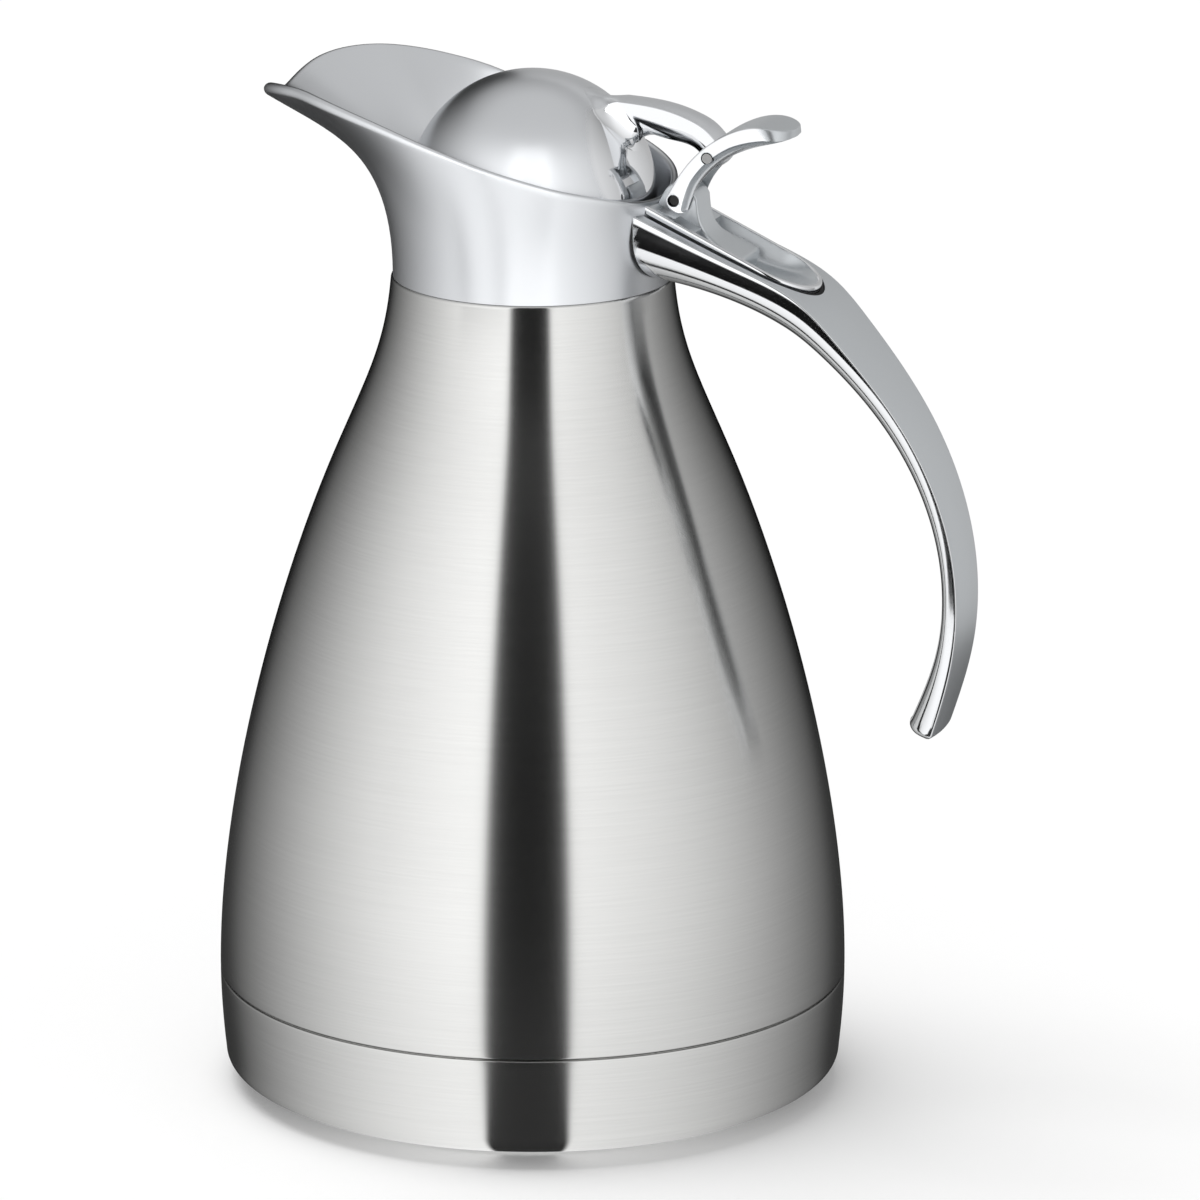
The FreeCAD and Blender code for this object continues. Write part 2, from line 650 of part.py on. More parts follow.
def arm_solid():
    """Strap arm: leaves the ball near its top, runs back level and dips into a knuckle on the upper pin."""
    turn = KNUCKLE_RADIUS * math.sqrt(0.5)
    end = ARM_PIN + at(turn, turn)
    below = ARM_PIN + at(-turn, -turn)
    top = spline(from_hinge(ARM_TOP) + [end])
    under = spline([below] + from_hinge(ARM_UNDER))
    root = line(under.valueAt(under.LastParameter), top.valueAt(top.FirstParameter))
    arm = across([top, arc(end, ARM_PIN + at(turn, -turn), below), under, root], ARM_WIDTH)
    crown = [e for e in arm.Edges if e.BoundBox.YLength < FIT and abs(e.Length - top.Length) < FIT]
    return arm.makeFillet(ARM_CROWN, crown)


def on_ball(edge):
    """True for an edge that lies on the ball's outer surface."""
    points = edge.discretize(3)
    return all(abs(point.distanceToPoint(DOME_CENTRE) - DOME_RADIUS) < FIT for point in points)


def make_lid_dome():
    ball = Part.makeSphere(DOME_RADIUS, DOME_CENTRE)
    ball.rotate(DOME_CENTRE, UP, 180)
    hollow = Part.makeSphere(DOME_RADIUS - DOME_WALL, DOME_CENTRE)
    below = Part.makeCylinder(2 * DOME_RADIUS, DOME_RADIUS, DOME_CENTRE - UP * (DOME_SKIRT + DOME_RADIUS))
    boss = Part.makeCylinder(BOSS_RADIUS, DOME_RADIUS, at(0, BOSS_LOW)).common(ball)
    joined = ball.fuse(arm_solid()).removeSplitter()
    root = [e for e in joined.Edges if e.BoundBox.XMin > FIT and on_ball(e)]
    dome = joined.makeFillet(ARM_ROOT_ROUND, root).cut(hollow).fuse(boss).cut(below).removeSplitter()
    bore = SCREW_RADIUS + SCREW_CLEARANCE
    screw_hole = Part.makeCylinder(bore, LID_SCREW_GRIP + SCREW_CLEARANCE, at(0, BOSS_LOW))
    return dome.cut([screw_hole, bar(PIN_RADIUS + PIN_PRESS, ARM_PIN, LEVER_WIDTH)])


def make_stopper():
    flange = math.sqrt((DOME_RADIUS - DOME_WALL) ** 2 - DOME_SKIRT ** 2) - FIT
    bore = SCREW_RADIUS + SCREW_CLEARANCE
    head = SCREW_HEAD_RADIUS + SCREW_CLEARANCE
    floor = STOPPER_LOW + LID_SCREW_RECESS + SCREW_HEAD_DEPTH
    shelf = STOPPER_SEAT + STOPPER_FLANGE
    section = chain(at(bore, floor), at(head, floor), at(head, STOPPER_LOW),
                    at(STOPPER_TOP_RADIUS - STOPPER_TAPER, STOPPER_LOW), at(STOPPER_TOP_RADIUS, STOPPER_SEAT),
                    at(flange, STOPPER_SEAT), at(flange, shelf), at(BOSS_RADIUS, shelf),
                    at(BOSS_RADIUS, BOSS_LOW), at(bore, BOSS_LOW), at(bore, floor))
    return turned(section)


def make_lid_seal():
    inner = STOPPER_TOP_RADIUS + FIT
    return ring(inner, inner + SEAL_RING_WIDTH, SEAL_LOW, STOPPER_SEAT)


def make_lid_screw():
    floor = STOPPER_LOW + LID_SCREW_RECESS
    head = Part.makeCylinder(SCREW_HEAD_RADIUS, SCREW_HEAD_DEPTH, at(0, floor))
    shank = Part.makeCylinder(SCREW_RADIUS, BOSS_LOW + LID_SCREW_GRIP - floor, at(0, floor))
    return head.fuse(shank).removeSplitter()


def lever_profile(low, y):
    """Side view of the thumb lever, with the given lower line, at one distance from the middle plane."""
    top = from_hinge(LEVER_TOP)
    heel = arc(low[-1], HINGE + at(*LEVER_HEEL), top[0])
    profile = Part.Wire([spline(top), line(top[-1], low[0]), spline(low), heel])
    profile.translate(ACROSS * y)
    return profile


def lever_plan():
    """Plan of the lever: straight sides and a tip with large round corners."""
    half = LEVER_WIDTH / 2
    tip = HINGE.x + LEVER_TOP[-1][0]
    back = tip - PAD_CORNER
    front = HINGE.x - LEVER_WIDTH
    turn = PAD_CORNER * math.sqrt(0.5)
    side = half - PAD_CORNER
    edges = [arc(Vector(back, -half, 0), Vector(back + turn, -side - turn, 0), Vector(tip, -side, 0)),
             line(Vector(tip, -side, 0), Vector(tip, side, 0)),
             arc(Vector(tip, side, 0), Vector(back + turn, side + turn, 0), Vector(back, half, 0))]
    edges += chain(Vector(back, half, 0), Vector(front, half, 0), Vector(front, -half, 0),
                   Vector(back, -half, 0))
    return face_of(edges).extrude(UP * (2 * NECK_SEAM))


def lever_blank():
    """Lever before it is slotted: its lower edges are bevelled, more at the middle than at the tip."""
    low = from_hinge(LEVER_LOW)
    facing = from_hinge(reversed(LEVER_TOP))
    cheek = [a + (b - a) * share for a, b, share in zip(low, facing, LEVER_BEVEL_SHARES)]
    half = LEVER_WIDTH / 2
    inner = half - LEVER_BEVEL
    profiles = [lever_profile(cheek, -half), lever_profile(low, -inner), lever_profile(low, inner),
                lever_profile(cheek, half)]
    blank = Part.makeLoft(profiles, True, True).common(lever_plan())
    flats = [f for f in blank.Faces if f.BoundBox.YLength < FIT]
    upper = [e for f in flats for e in f.Edges if e.BoundBox.ZMin > HINGE.z and e.Length > LEVER_WIDTH]
    return blank.makeFillet(LEVER_EDGE_ROUND, upper)


def make_thumb_lever():
    tie = (ARM_PIN - HINGE).normalize()
    aside = tie.cross(ACROSS) * LEVER_WIDTH
    end = ARM_PIN + tie * LEVER_SLOT_REST
    start = HINGE - tie * LEVER_WIDTH
    slot = across(chain(end + aside, end - aside, start - aside, start + aside, end + aside), LEVER_SLOT)
    hinge_hole = bar(PIN_RADIUS + PIN_CLEARANCE, HINGE, 2 * LEVER_WIDTH)
    return lever_blank().cut([slot, hinge_hole, bar(PIN_RADIUS + PIN_PRESS, ARM_PIN, 2 * LEVER_WIDTH)])


PIECES = {
    "outer_shell": make_outer_shell,
    "base_cup": make_base_cup,
    "inner_liner": make_inner_liner,
    "liner_floor": make_liner_floor,
    "vacuum_floor": make_vacuum_floor,
    "evacuation_seal": make_evacuation_seal,
    "getter": make_getter,
    "neck_gasket": make_neck_gasket,
    "spout_collar": make_spout_collar,
    "seat_ring": make_seat_ring,
    "pour_seat": make_pour_seat,
    "handle": make_handle,
    "handle_gasket": make_handle_gasket,
    "collar_screws": collar_screws,
    "hinge_saddle": make_hinge_saddle,
    "saddle_gasket": make_saddle_gasket,
    "handle_screw": handle_screw,
    "hinge_pin": make_hinge_pin,
    "lid_dome": make_lid_dome,
    "stopper": make_stopper,
    "lid_seal": make_lid_seal,
    "lid_screw": make_lid_screw,
    "thumb_lever": make_thumb_lever,
    "arm_pin": make_arm_pin,
}

os.makedirs("parts", exist_ok=True)
for name, make in PIECES.items():
    shape = make()
    shape.exportStep("parts/" + name + ".step")
    print(name, "solids", len(shape.Solids), "valid", shape.isValid(), "volume", round(shape.Volume, 1))
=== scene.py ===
import json
import math

import bmesh
import bpy
import numpy as np
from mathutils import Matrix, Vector


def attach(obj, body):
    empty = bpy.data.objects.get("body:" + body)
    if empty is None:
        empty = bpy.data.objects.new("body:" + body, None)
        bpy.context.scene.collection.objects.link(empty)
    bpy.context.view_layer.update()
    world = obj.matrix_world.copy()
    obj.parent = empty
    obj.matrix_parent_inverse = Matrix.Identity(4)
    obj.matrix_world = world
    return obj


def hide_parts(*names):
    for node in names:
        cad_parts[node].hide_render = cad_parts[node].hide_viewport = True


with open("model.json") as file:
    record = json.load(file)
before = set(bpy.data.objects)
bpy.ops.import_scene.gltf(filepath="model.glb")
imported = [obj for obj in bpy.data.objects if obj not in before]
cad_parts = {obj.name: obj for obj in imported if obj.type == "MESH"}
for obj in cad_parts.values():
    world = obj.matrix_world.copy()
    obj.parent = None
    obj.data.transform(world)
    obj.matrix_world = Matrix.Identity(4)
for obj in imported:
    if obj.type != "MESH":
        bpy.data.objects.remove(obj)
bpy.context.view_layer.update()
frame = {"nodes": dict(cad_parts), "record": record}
nodes = frame["nodes"]
MM = 0.001


# Node trees: a Tone is a number or colour that varies, and a Graph writes one tree of a finish or a form

class Tone:
    """Output socket of a node; arithmetic on it adds Math nodes to the same tree."""

    def __init__(self, graph, socket):
        self.graph = graph
        self.socket = socket

    def math(self, operation, *values):
        return self.graph.add("ShaderNodeMath", {"operation": operation}, dict(enumerate(values)))

    def __add__(self, other):
        return self.math("ADD", self, other)

    def __radd__(self, other):
        return self.math("ADD", other, self)

    def __sub__(self, other):
        return self.math("SUBTRACT", self, other)

    def __rsub__(self, other):
        return self.math("SUBTRACT", other, self)

    def __mul__(self, other):
        return self.math("MULTIPLY", self, other)

    def __rmul__(self, other):
        return self.math("MULTIPLY", other, self)

    def __truediv__(self, other):
        return self.math("DIVIDE", self, other)

    def __mod__(self, other):
        return self.math("FLOORED_MODULO", self, other)

    def min(self, other):
        return self.math("MINIMUM", self, other)

    def max(self, other):
        return self.math("MAXIMUM", self, other)

    def floor(self):
        return self.math("FLOOR", self)

    def root(self):
        return self.math("SQRT", self)

    def cos(self):
        return self.math("COSINE", self)

    def abs(self):
        return self.math("ABSOLUTE", self)

    def step(self, low, high):
        """Smooth rise from 0 at low to 1 at high."""
        settings = {"interpolation_type": "SMOOTHSTEP", "clamp": True}
        return self.graph.add("ShaderNodeMapRange", settings, {0: self, 1: low, 2: high, 3: 0.0, 4: 1.0})

    def band(self, rise, fall):
        """1 between two smooth edges, each given by its low and high value."""
        return self.step(*rise) * (1 - self.step(*fall))


class Graph:
    """Node tree of one material, of the world, or of a form."""

    def __init__(self, tree):
        self.tree = tree
        tree.nodes.clear()

    def add(self, kind, settings=None, sockets=None, out=0):
        """New node: its settings first, then the values or links of its sockets; gives one output."""
        node = self.tree.nodes.new(kind)
        for name, value in (settings or {}).items():
            setattr(node, name, value)
        for key, value in (sockets or {}).items():
            if isinstance(value, Tone):
                self.tree.links.new(value.socket, node.inputs[key])
            else:
                node.inputs[key].default_value = value
        return Tone(self, node.outputs[out]) if len(node.outputs) else None

    def place(self):
        """Object coordinates: the point itself and its three numbers, in metres."""
        point = self.add("ShaderNodeTexCoord", out="Object")
        parts = [self.add("ShaderNodeSeparateXYZ", sockets={0: point}, out=i) for i in range(3)]
        return point, *parts

    def vector(self, x, y, z):
        return self.add("ShaderNodeCombineXYZ", sockets={0: x, 1: y, 2: z})

    def noise(self, vector, scale, detail=2.0, roughness=0.5):
        return self.add("ShaderNodeTexNoise", {"noise_dimensions": "3D"},
                        {"Vector": vector, "Scale": scale, "Detail": detail, "Roughness": roughness})

    def mark(self, name):
        """Number that a piece's mesh carries at its points."""
        return self.add("ShaderNodeAttribute", {"attribute_name": name}, out="Fac")

    def blend(self, share, low, high):
        """Colour between low and high by share."""
        return self.add("ShaderNodeMix", {"data_type": "RGBA"}, {0: share, 6: low, 7: high}, out=2)

    def bump(self, height, strength, distance):
        sockets = {"Height": height, "Strength": strength, "Distance": distance}
        return self.add("ShaderNodeBump", sockets=sockets)

    def surface(self, **sockets):
        named = {key.replace("_", " "): value for key, value in sockets.items()}
        shader = self.add("ShaderNodeBsdfPrincipled", sockets=named)
        self.add("ShaderNodeOutputMaterial", sockets={"Surface": shader})


def new_finish(name):
    material = bpy.data.materials.new(name)
    material.use_nodes = True
    return material, Graph(material.node_tree)


def rgba(red, green, blue, share=1.0):
    return red * share, green * share, blue * share, 1.0


# Finishes of the jug

# Noise that makes the scratches: its scale round the axis and up it, detail and roughness
FINE_SCRATCH = (3.0, 3600.0, 3.0, 0.6)
LONG_SCRATCH = (1.8, 1500.0, 2.0, 0.5)
FINE_SHARE = 0.65
SCRATCH_EDGE = (0.3, 0.7)
SCRATCH_SHADE = 0.955
BRUSH_STRETCH = 0.92
BRUSH_TURN = 0.25
# Scale of the grain that is blasted into the satin, and of the wiping marks on the polish, across and up
SATIN_GRAIN = 2600.0
SATIN_SHADE = 0.95
WIPE_ACROSS = 60.0
WIPE_UP = 220.0
POLISH_LEAST = 0.035
POLISH_SPREAD = 0.05


def brushed_steel(name, tint, roughness):
    """Steel brushed round the axis: long fine scratches that run level round the body."""
    material, g = new_finish(name)
    point, x, y, z = g.place()
    radius = (x * x + y * y).root().max(MM)

    def scratches(around, up, detail, rough):
        return g.noise(g.vector(x / radius * around, y / radius * around, z * up), 1.0, detail, rough)

    grain = scratches(*FINE_SCRATCH) * FINE_SHARE + scratches(*LONG_SCRATCH) * (1 - FINE_SHARE)
    cloud = g.noise(point, 18.0, 2.0)
    shade = g.blend(grain.step(*SCRATCH_EDGE), rgba(*tint, SCRATCH_SHADE), rgba(*tint))
    g.surface(Base_Color=shade, Metallic=1.0, Roughness=roughness - 0.025 + grain * 0.03 + cloud * 0.02,
              Normal=g.bump(grain, 0.04, 0.02 * MM), Anisotropic=BRUSH_STRETCH,
              Anisotropic_Rotation=BRUSH_TURN)
    return material


def plated(name, satin, polish, roughness, polish_share):
    """Plated metal, blasted to a satin grain or polished; polish_share gives the share that is polished."""
    material, g = new_finish(name)
    point, x, y, z = g.place()
    grain = g.noise(point, SATIN_GRAIN, 2.0)
    cloud = g.noise(point, 30.0, 3.0)
    wipe = g.noise(g.vector(x * WIPE_ACROSS, y * WIPE_ACROSS, z * WIPE_UP), 1.0, 3.0)
    share = polish_share(g, x, y, z)
    matte = roughness - 0.03 + cloud * 0.06
    gloss = POLISH_LEAST + wipe * POLISH_SPREAD
    blasted = g.blend(cloud, rgba(*satin, SATIN_SHADE), rgba(*satin))
    g.surface(Base_Color=g.blend(share, blasted, rgba(*polish)), Metallic=1.0,
              Roughness=matte * (1 - share) + gloss * share,
              Normal=g.bump(grain * (1 - share), 0.04, 0.03 * MM))
    return material


def turned_steel(name, tint, roughness):
    """Plain steel of screws and pins, with a fine uneven gloss."""
    material, g = new_finish(name)
    point, x, y, z = g.place()
    grain = g.noise(point, 1500.0, 2.0)
    g.surface(Base_Color=g.blend(grain, rgba(*tint, 0.8), rgba(*tint)), Metallic=1.0,
              Roughness=roughness - 0.07 + grain * 0.14)
    return material


def black_polymer(name, tint, roughness):
    """Moulded rubber or plastic with a fine matte skin."""
    material, g = new_finish(name)
    point, x, y, z = g.place()
    skin = g.noise(point, 1800.0, 3.0)
    cloud = g.noise(point, 40.0, 2.0)
    g.surface(Base_Color=g.blend(cloud, rgba(*tint), rgba(*tint, 1.6)), Metallic=0.0,
              Roughness=roughness + skin * 0.12, Normal=g.bump(skin, 0.2, 0.05 * MM))
    return material


def nowhere(g, x, y, z):
    return 0.0


def everywhere(g, x, y, z):
    return 1.0


def where_marked(g, x, y, z):
    return g.mark("polish")


def behind_the_slant(g, x, y, z):
    """Marked places of the lid, and only behind a slanting plane through the ball."""
    depth = x * BALL_SLANT[0] + (z - BALL_HEIGHT * MM) * BALL_SLANT[1]
    return g.mark("polish") * depth.step(POLISH_START * MM, POLISH_FULL * MM)


def rear_of_ball(g, x, y, z):
    """Rear of the ball below the arm's satin top."""
    satin = z.step((POLISH_TOP - POLISH_SOFT) * MM, (POLISH_TOP + POLISH_SOFT) * MM)
    return behind_the_slant(g, x, y, z) * (1 - satin)


# Sizes of the jug in millimetres; the upright axis is Z and the handle is towards +X

BASE_RADIUS = 75.2
BAND_TOP = 27.4
SEAM_GAP = 0.5
NECK_SEAM = 198.0
COLLAR_RADIUS = 33.0
EDGE_ROUND = 0.4
HINGE = np.array([37.7, 220.1])
ARM_PIN = HINGE + (8.2, 10.7)
BALL_RADIUS = 29.4
BALL_HEIGHT = 217.4
BALL_SKIRT = 3.7
BALL_WALL = 1.6
BALL_SLANT = (0.935, 0.354)
POLISH_START = 23.3
POLISH_FULL = 24.5
POLISH_TOP = 240.2
POLISH_SOFT = 0.4
FIT = 0.15
BORE_SPAN = (150.0, 260.0)
CREASE = 40
FINE_CREASE = 35
MERGE_GAP = 0.0005 * MM
BODY_SEGMENTS = 192
BALL_SEGMENTS = 128


# Lines and meshes

def bezier(poles, count):
    """Points along a Bezier curve with the given poles."""
    share = np.linspace(0, 1, count)[:, None]
    layer = [np.array(pole, float) for pole in poles]
    while len(layer) > 1:
        layer = [a * (1 - share) + b * share for a, b in zip(layer, layer[1:])]
    return layer[0]


def smooth_line(points, stops):
    """Smooth curve through points, read at stops that count in points from the first one."""
    points = np.array(points, float)
    gaps = np.linalg.norm(np.diff(points, axis=0), axis=1)
    knots = np.concatenate([[0], np.cumsum(gaps)])
    size = len(points)
    system = np.eye(size)
    pull = np.zeros_like(points)
    for i in range(1, size - 1):
        system[i, i - 1:i + 2] = gaps[i - 1], 2 * (gaps[i - 1] + gaps[i]), gaps[i]
        pull[i] = 6 * ((points[i + 1] - points[i]) / gaps[i] - (points[i] - points[i - 1]) / gaps[i - 1])
    bend = np.linalg.solve(system, pull)
    reach = np.interp(stops, np.arange(size), knots)
    span = np.clip(np.searchsorted(knots, reach, side="right") - 1, 0, size - 2)
    gap = gaps[span][:, None]
    after = ((reach - knots[span])[:, None]) / gap
    before = 1 - after
    low, high = points[span], points[span + 1]
    return (before * low + after * high
            + ((before ** 3 - before) * bend[span] + (after ** 3 - after) * bend[span + 1]) * gap ** 2 / 6)


def both_sides(half):
    """Closed loop from its half on one side of the middle plane, first and last point on the plane."""
    return np.vstack([half, (half * (-1, 1))[-2:0:-1]])


def seam_free(mesh):
    """Merge a mesh's doubles, drop loose edges and turn its faces outwards."""
    form = bmesh.new()
    form.from_mesh(mesh)
    bmesh.ops.remove_doubles(form, verts=form.verts, dist=MERGE_GAP)
    loose = [edge for edge in form.edges if not edge.link_faces]
    bmesh.ops.delete(form, geom=loose, context="EDGES")
    bmesh.ops.recalc_face_normals(form, faces=form.faces)
    form.to_mesh(mesh)
    form.free()


def smooth(mesh, crease):
    for face in mesh.polygons:
        face.use_smooth = True
    mesh.set_sharp_from_angle(angle=math.radians(crease))


def new_piece(name, mesh):
    piece = bpy.data.objects.new(name, mesh)
    bpy.context.scene.collection.objects.link(piece)
    return piece


def settle(piece):
    """Make the result of a piece's modifiers its plain mesh."""
    mesh = bpy.data.meshes.new_from_object(piece.evaluated_get(bpy.context.evaluated_depsgraph_get()))
    piece.modifiers.clear()
    piece.data = mesh
    return mesh


def skin(name, rows, finish=None, polish=None, crease=CREASE, hoop=False):
    """Closed form through rows of points in millimetres, each row a closed loop; polish marks its points.
    The rows of a hoop go round to the first one again."""
    rows = np.array(rows, float)
    count, side = rows.shape[:2]
    mesh = bpy.data.meshes.new(name)
    starts = np.arange(count) * side
    pairs = list(zip(starts, np.roll(starts, -1)))[:None if hoop else -1]
    faces = [(a + j, a + (j + 1) % side, b + (j + 1) % side, b + j) for a, b in pairs for j in range(side)]
    if not hoop:
        faces += [tuple(range(side)), tuple(range((count - 1) * side, count * side))]
    mesh.from_pydata((rows.reshape(-1, 3) * MM).tolist(), [], faces)
    if polish is not None:
        marks = mesh.attributes.new("polish", "FLOAT", "POINT")
        marks.data.foreach_set("value", np.broadcast_to(polish, (count, side)).astype(float).ravel())
    if finish:
        mesh.materials.append(finish)
    seam_free(mesh)
    smooth(mesh, crease)
    return new_piece(name, mesh)


def carve(piece, tools, crease=CREASE):
    """Cut the tools out of a piece; the tools are used up."""
    for tool in tools:
        cut = piece.modifiers.new("cut", "BOOLEAN")
        cut.operation = "DIFFERENCE"
        cut.solver = "EXACT"
        cut.object = tool
    mesh = settle(piece)
    smooth(mesh, crease)
    for tool in tools:
        bpy.data.objects.remove(tool)


def ring(radius, count=96):
    """Level circle, as pairs of x and y."""
    turn = np.linspace(0, 2 * math.pi, count, endpoint=False)
    return np.stack([radius * np.cos(turn), radius * np.sin(turn)], 1)


def cross_bar(name, radius, centre, half):
    """Round bar across the middle plane, used as a cutter."""
    hoop = ring(radius, 40) + centre
    return skin(name, [[(x, y, z) for x, z in hoop] for y in (-half, half)])


def collar_bore(gap):
    """Upright bar as wide as the collar and a gap, used as a cutter."""
    hoop = ring(COLLAR_RADIUS + gap, 160)
    return skin("collar_bore", [np.column_stack([hoop, np.full(len(hoop), z)]) for z in BORE_SPAN])


def seat(piece, body, slot, *cad_nodes):
    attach(piece, body)
    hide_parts(*cad_nodes)


# Turned forms: a half section turned round the axis

def turned_tree():
    """Tree that turns the points of a closed half section round the jug's axis."""
    tree = bpy.data.node_groups.new("turned_form", "GeometryNodeTree")
    sockets = (("Section", "NodeSocketGeometry", "INPUT"), ("Segments", "NodeSocketInt", "INPUT"),
               ("Finish", "NodeSocketMaterial", "INPUT"), ("Form", "NodeSocketGeometry", "OUTPUT"))
    for name, kind, side in sockets:
        tree.interface.new_socket(name, in_out=side, socket_type=kind)
    g = Graph(tree)
    section, segments, finish = (g.add("NodeGroupInput", out=i) for i in range(3))
    count = g.add("GeometryNodeAttributeDomainSize", {"component": "MESH"}, {0: section}, "Point Count")
    grid = g.add("GeometryNodeMeshGrid", sockets={"Vertices X": segments + 1, "Vertices Y": count + 1})
    index = g.add("GeometryNodeInputIndex")
    column = (index / (count + 1)).floor()
    row = (index - column * (count + 1)) % count
    point = g.add("GeometryNodeSampleIndex", {"data_type": "FLOAT_VECTOR"},
                  {"Geometry": section, "Value": g.add("GeometryNodeInputPosition"), "Index": row})
    turn = column / segments * (2 * math.pi)
    spun = g.add("ShaderNodeVectorRotate", {"rotation_type": "Z_AXIS"}, {"Vector": point, "Angle": turn})
    form = g.add("GeometryNodeSetPosition", sockets={"Geometry": grid, "Position": spun})
    form = g.add("GeometryNodeMergeByDistance", sockets={"Geometry": form, "Distance": MERGE_GAP})
    form = g.add("GeometryNodeRealizeInstances", sockets={"Geometry": form})
    form = g.add("GeometryNodeSetMaterial", sockets={"Geometry": form, "Material": finish})
    g.add("NodeGroupOutput", sockets={0: form})
    return tree


def turned(name, section, finish, segments=160):
    """Piece turned from a half section of (radius, height) pairs."""
    mesh = bpy.data.meshes.new(name)
    mesh.from_pydata([(radius * MM, 0, height * MM) for radius, height in section], [], [])
    piece = new_piece(name, mesh)
    spin = piece.modifiers.new("turned", "NODES")
    spin.node_group = TURNED_TREE
    entries = [item for item in TURNED_TREE.interface.items_tree if item.in_out == "INPUT"]
    names = {item.name: item.identifier for item in entries}
    spin[names["Segments"]] = segments
    spin[names["Finish"]] = finish
    mesh = settle(piece)
    seam_free(mesh)
    smooth(mesh, CREASE)
    return piece


# Body and base

WAIST_RADIUS = 47.0
WAIST_DROP = 43.4
WAIST_LEAN = math.radians(23)
WAIST_PULL_DOWN = 37.2
WAIST_PULL_UP = 19.5
BASE_PULL = 40.5
NECK_LEAN = math.radians(5)
NECK_PULL = 16.7
SHELL_WALL = 0.8
NECK_RADIUS = 29.5
NECK_TOP = 205.0
SHOULDER_RADIUS = 33.5
SHOULDER_ROUND = 1.0
# Inner and outer radius of the skirt that goes down into the base cup
SKIRT_TOP = (73.0, 74.0)
SKIRT_FOOT = (72.1, 72.9)
SKIRT_LOW = 10.0
BAND_LOW = 8.0
BAND_TAPER = 1.2
BAND_BELLY = 0.25
BASE_WALL = 1.0
# Radius and height down the heel, across the standing ring to the axis, and back inside
HEEL = [(74.0, 4.6), (70.9, 3.6), (66.0, 2.2)]
FOOT = [(60.2, 0.25), (58.9, 0.0), (53.9, 0.0), (51.5, 2.0), (0.0, 2.0)]
FOOT_INSIDE = [(0.0, 3.0), (51.3, 3.0), (53.5, 1.0), (58.5, 1.0), (66.0, 3.2)]
HEEL_INSIDE = [(66.0, 3.2), (70.9, 4.6), (73.0, 4.6), (73.0, 8.0)]


def up_wall(lean):
    """Direction up a wall that leans in."""
    return np.array((-math.sin(lean), math.cos(lean)))


def flank(inset, start):
    """Side of the flask, moved in by inset, from the height start up to the neck."""
    base = np.array((BASE_RADIUS - inset, start))
    waist = np.array((WAIST_RADIUS - inset, NECK_SEAM - WAIST_DROP))
    neck = np.array((SHOULDER_RADIUS - inset, NECK_SEAM - SHOULDER_ROUND))
    along = up_wall(WAIST_LEAN)
    low = bezier([base, base + (0, BASE_PULL), waist - along * WAIST_PULL_DOWN, waist], 56)
    high = bezier([waist, waist + along * WAIST_PULL_UP, neck - up_wall(NECK_LEAN) * NECK_PULL, neck], 36)
    return np.vstack([low, high[1:]])


def make_body():
    edge = BAND_TOP + SEAM_GAP
    outer = flank(0, edge + EDGE_ROUND)
    inner = flank(SHELL_WALL, edge + SHELL_WALL)
    lip = bezier([(BASE_RADIUS - EDGE_ROUND, edge), (BASE_RADIUS, edge), outer[0]], 5)
    crest = (SHOULDER_RADIUS - SHOULDER_ROUND, NECK_SEAM)
    shoulder = bezier([outer[-1], (SHOULDER_RADIUS, NECK_SEAM), crest], 7)
    neck = [(NECK_RADIUS, NECK_SEAM), (NECK_RADIUS, NECK_TOP), (NECK_RADIUS - SHELL_WALL, NECK_TOP),
            (NECK_RADIUS - SHELL_WALL, inner[-1][1])]
    skirt = [(SKIRT_TOP[0], edge + SHELL_WALL), (SKIRT_FOOT[0], SKIRT_LOW), (SKIRT_FOOT[1], SKIRT_LOW),
             (SKIRT_TOP[1], edge)]
    section = np.vstack([lip, outer[1:], shoulder[1:], neck, inner[::-1], skirt])
    seat(turned("body", section, BODY_STEEL, BODY_SEGMENTS), "flask", "brushed_steel", "outer_shell")


def make_base():
    """Base cup: slightly bellied band, round heel, standing ring and a shallow recess under it."""
    heights = np.linspace(BAND_TOP - EDGE_ROUND, BAND_LOW, 12)
    share = (heights - BAND_LOW) / (BAND_TOP - BAND_LOW)
    swell = 4 * BAND_BELLY * share * (1 - share)
    band = np.stack([BASE_RADIUS - BAND_TAPER * (1 - share) + swell, heights], 1)
    lip = bezier([(BASE_RADIUS - EDGE_ROUND, BAND_TOP), (BASE_RADIUS, BAND_TOP), band[0]], 5)
    heel = bezier([band[-1], *HEEL], 16)
    inside = bezier(HEEL_INSIDE, 10)
    rim = [(BASE_RADIUS - BASE_WALL, BAND_TOP)]
    section = np.vstack([lip, band[1:], heel[1:], FOOT, FOOT_INSIDE, inside[1:], rim])
    seat(turned("base", section, BODY_STEEL, BODY_SEGMENTS), "flask", "brushed_steel", "base_cup")


# Collar with its spout

COLLAR_WALL = 1.6
WALL_MIDDLE = COLLAR_RADIUS - COLLAR_WALL / 2
LIP_SWELL = 1.4
# Top of the rim on one side, from the tip of the spout to the rear
RIM = [(-63.4, 0.0, 238.0), (-63.3, 4.5, 238.7), (-62.9, 10.0, 240.1), (-61.4, 15.6, 241.8),
       (-58.2, 20.9, 243.1), (-53.0, 25.5, 243.8), (-48.1, 28.4, 243.8), (-44.0, 30.8, 243.3),
       (-38.9, 33.2, 242.4), (-32.0, 35.4, 240.9), (-24.6, 36.8, 239.0), (-16.6, 37.1, 236.4),
       (-8.0, 36.5, 233.5), (0.2, 35.3, 230.7), (8.3, 33.3, 228.2), (16.2, 30.6, 225.9), (23.0, 26.0, 223.9),
       (28.0, 20.1, 222.1), (30.7, 13.2, 220.5), (31.8, 6.4, 219.6), (32.2, 0.0, 219.3)]
RIM_ROWS = 81
REAR_START = 16.0
REAR_FULL = 28.0
SPOUT_REACH = 65.4
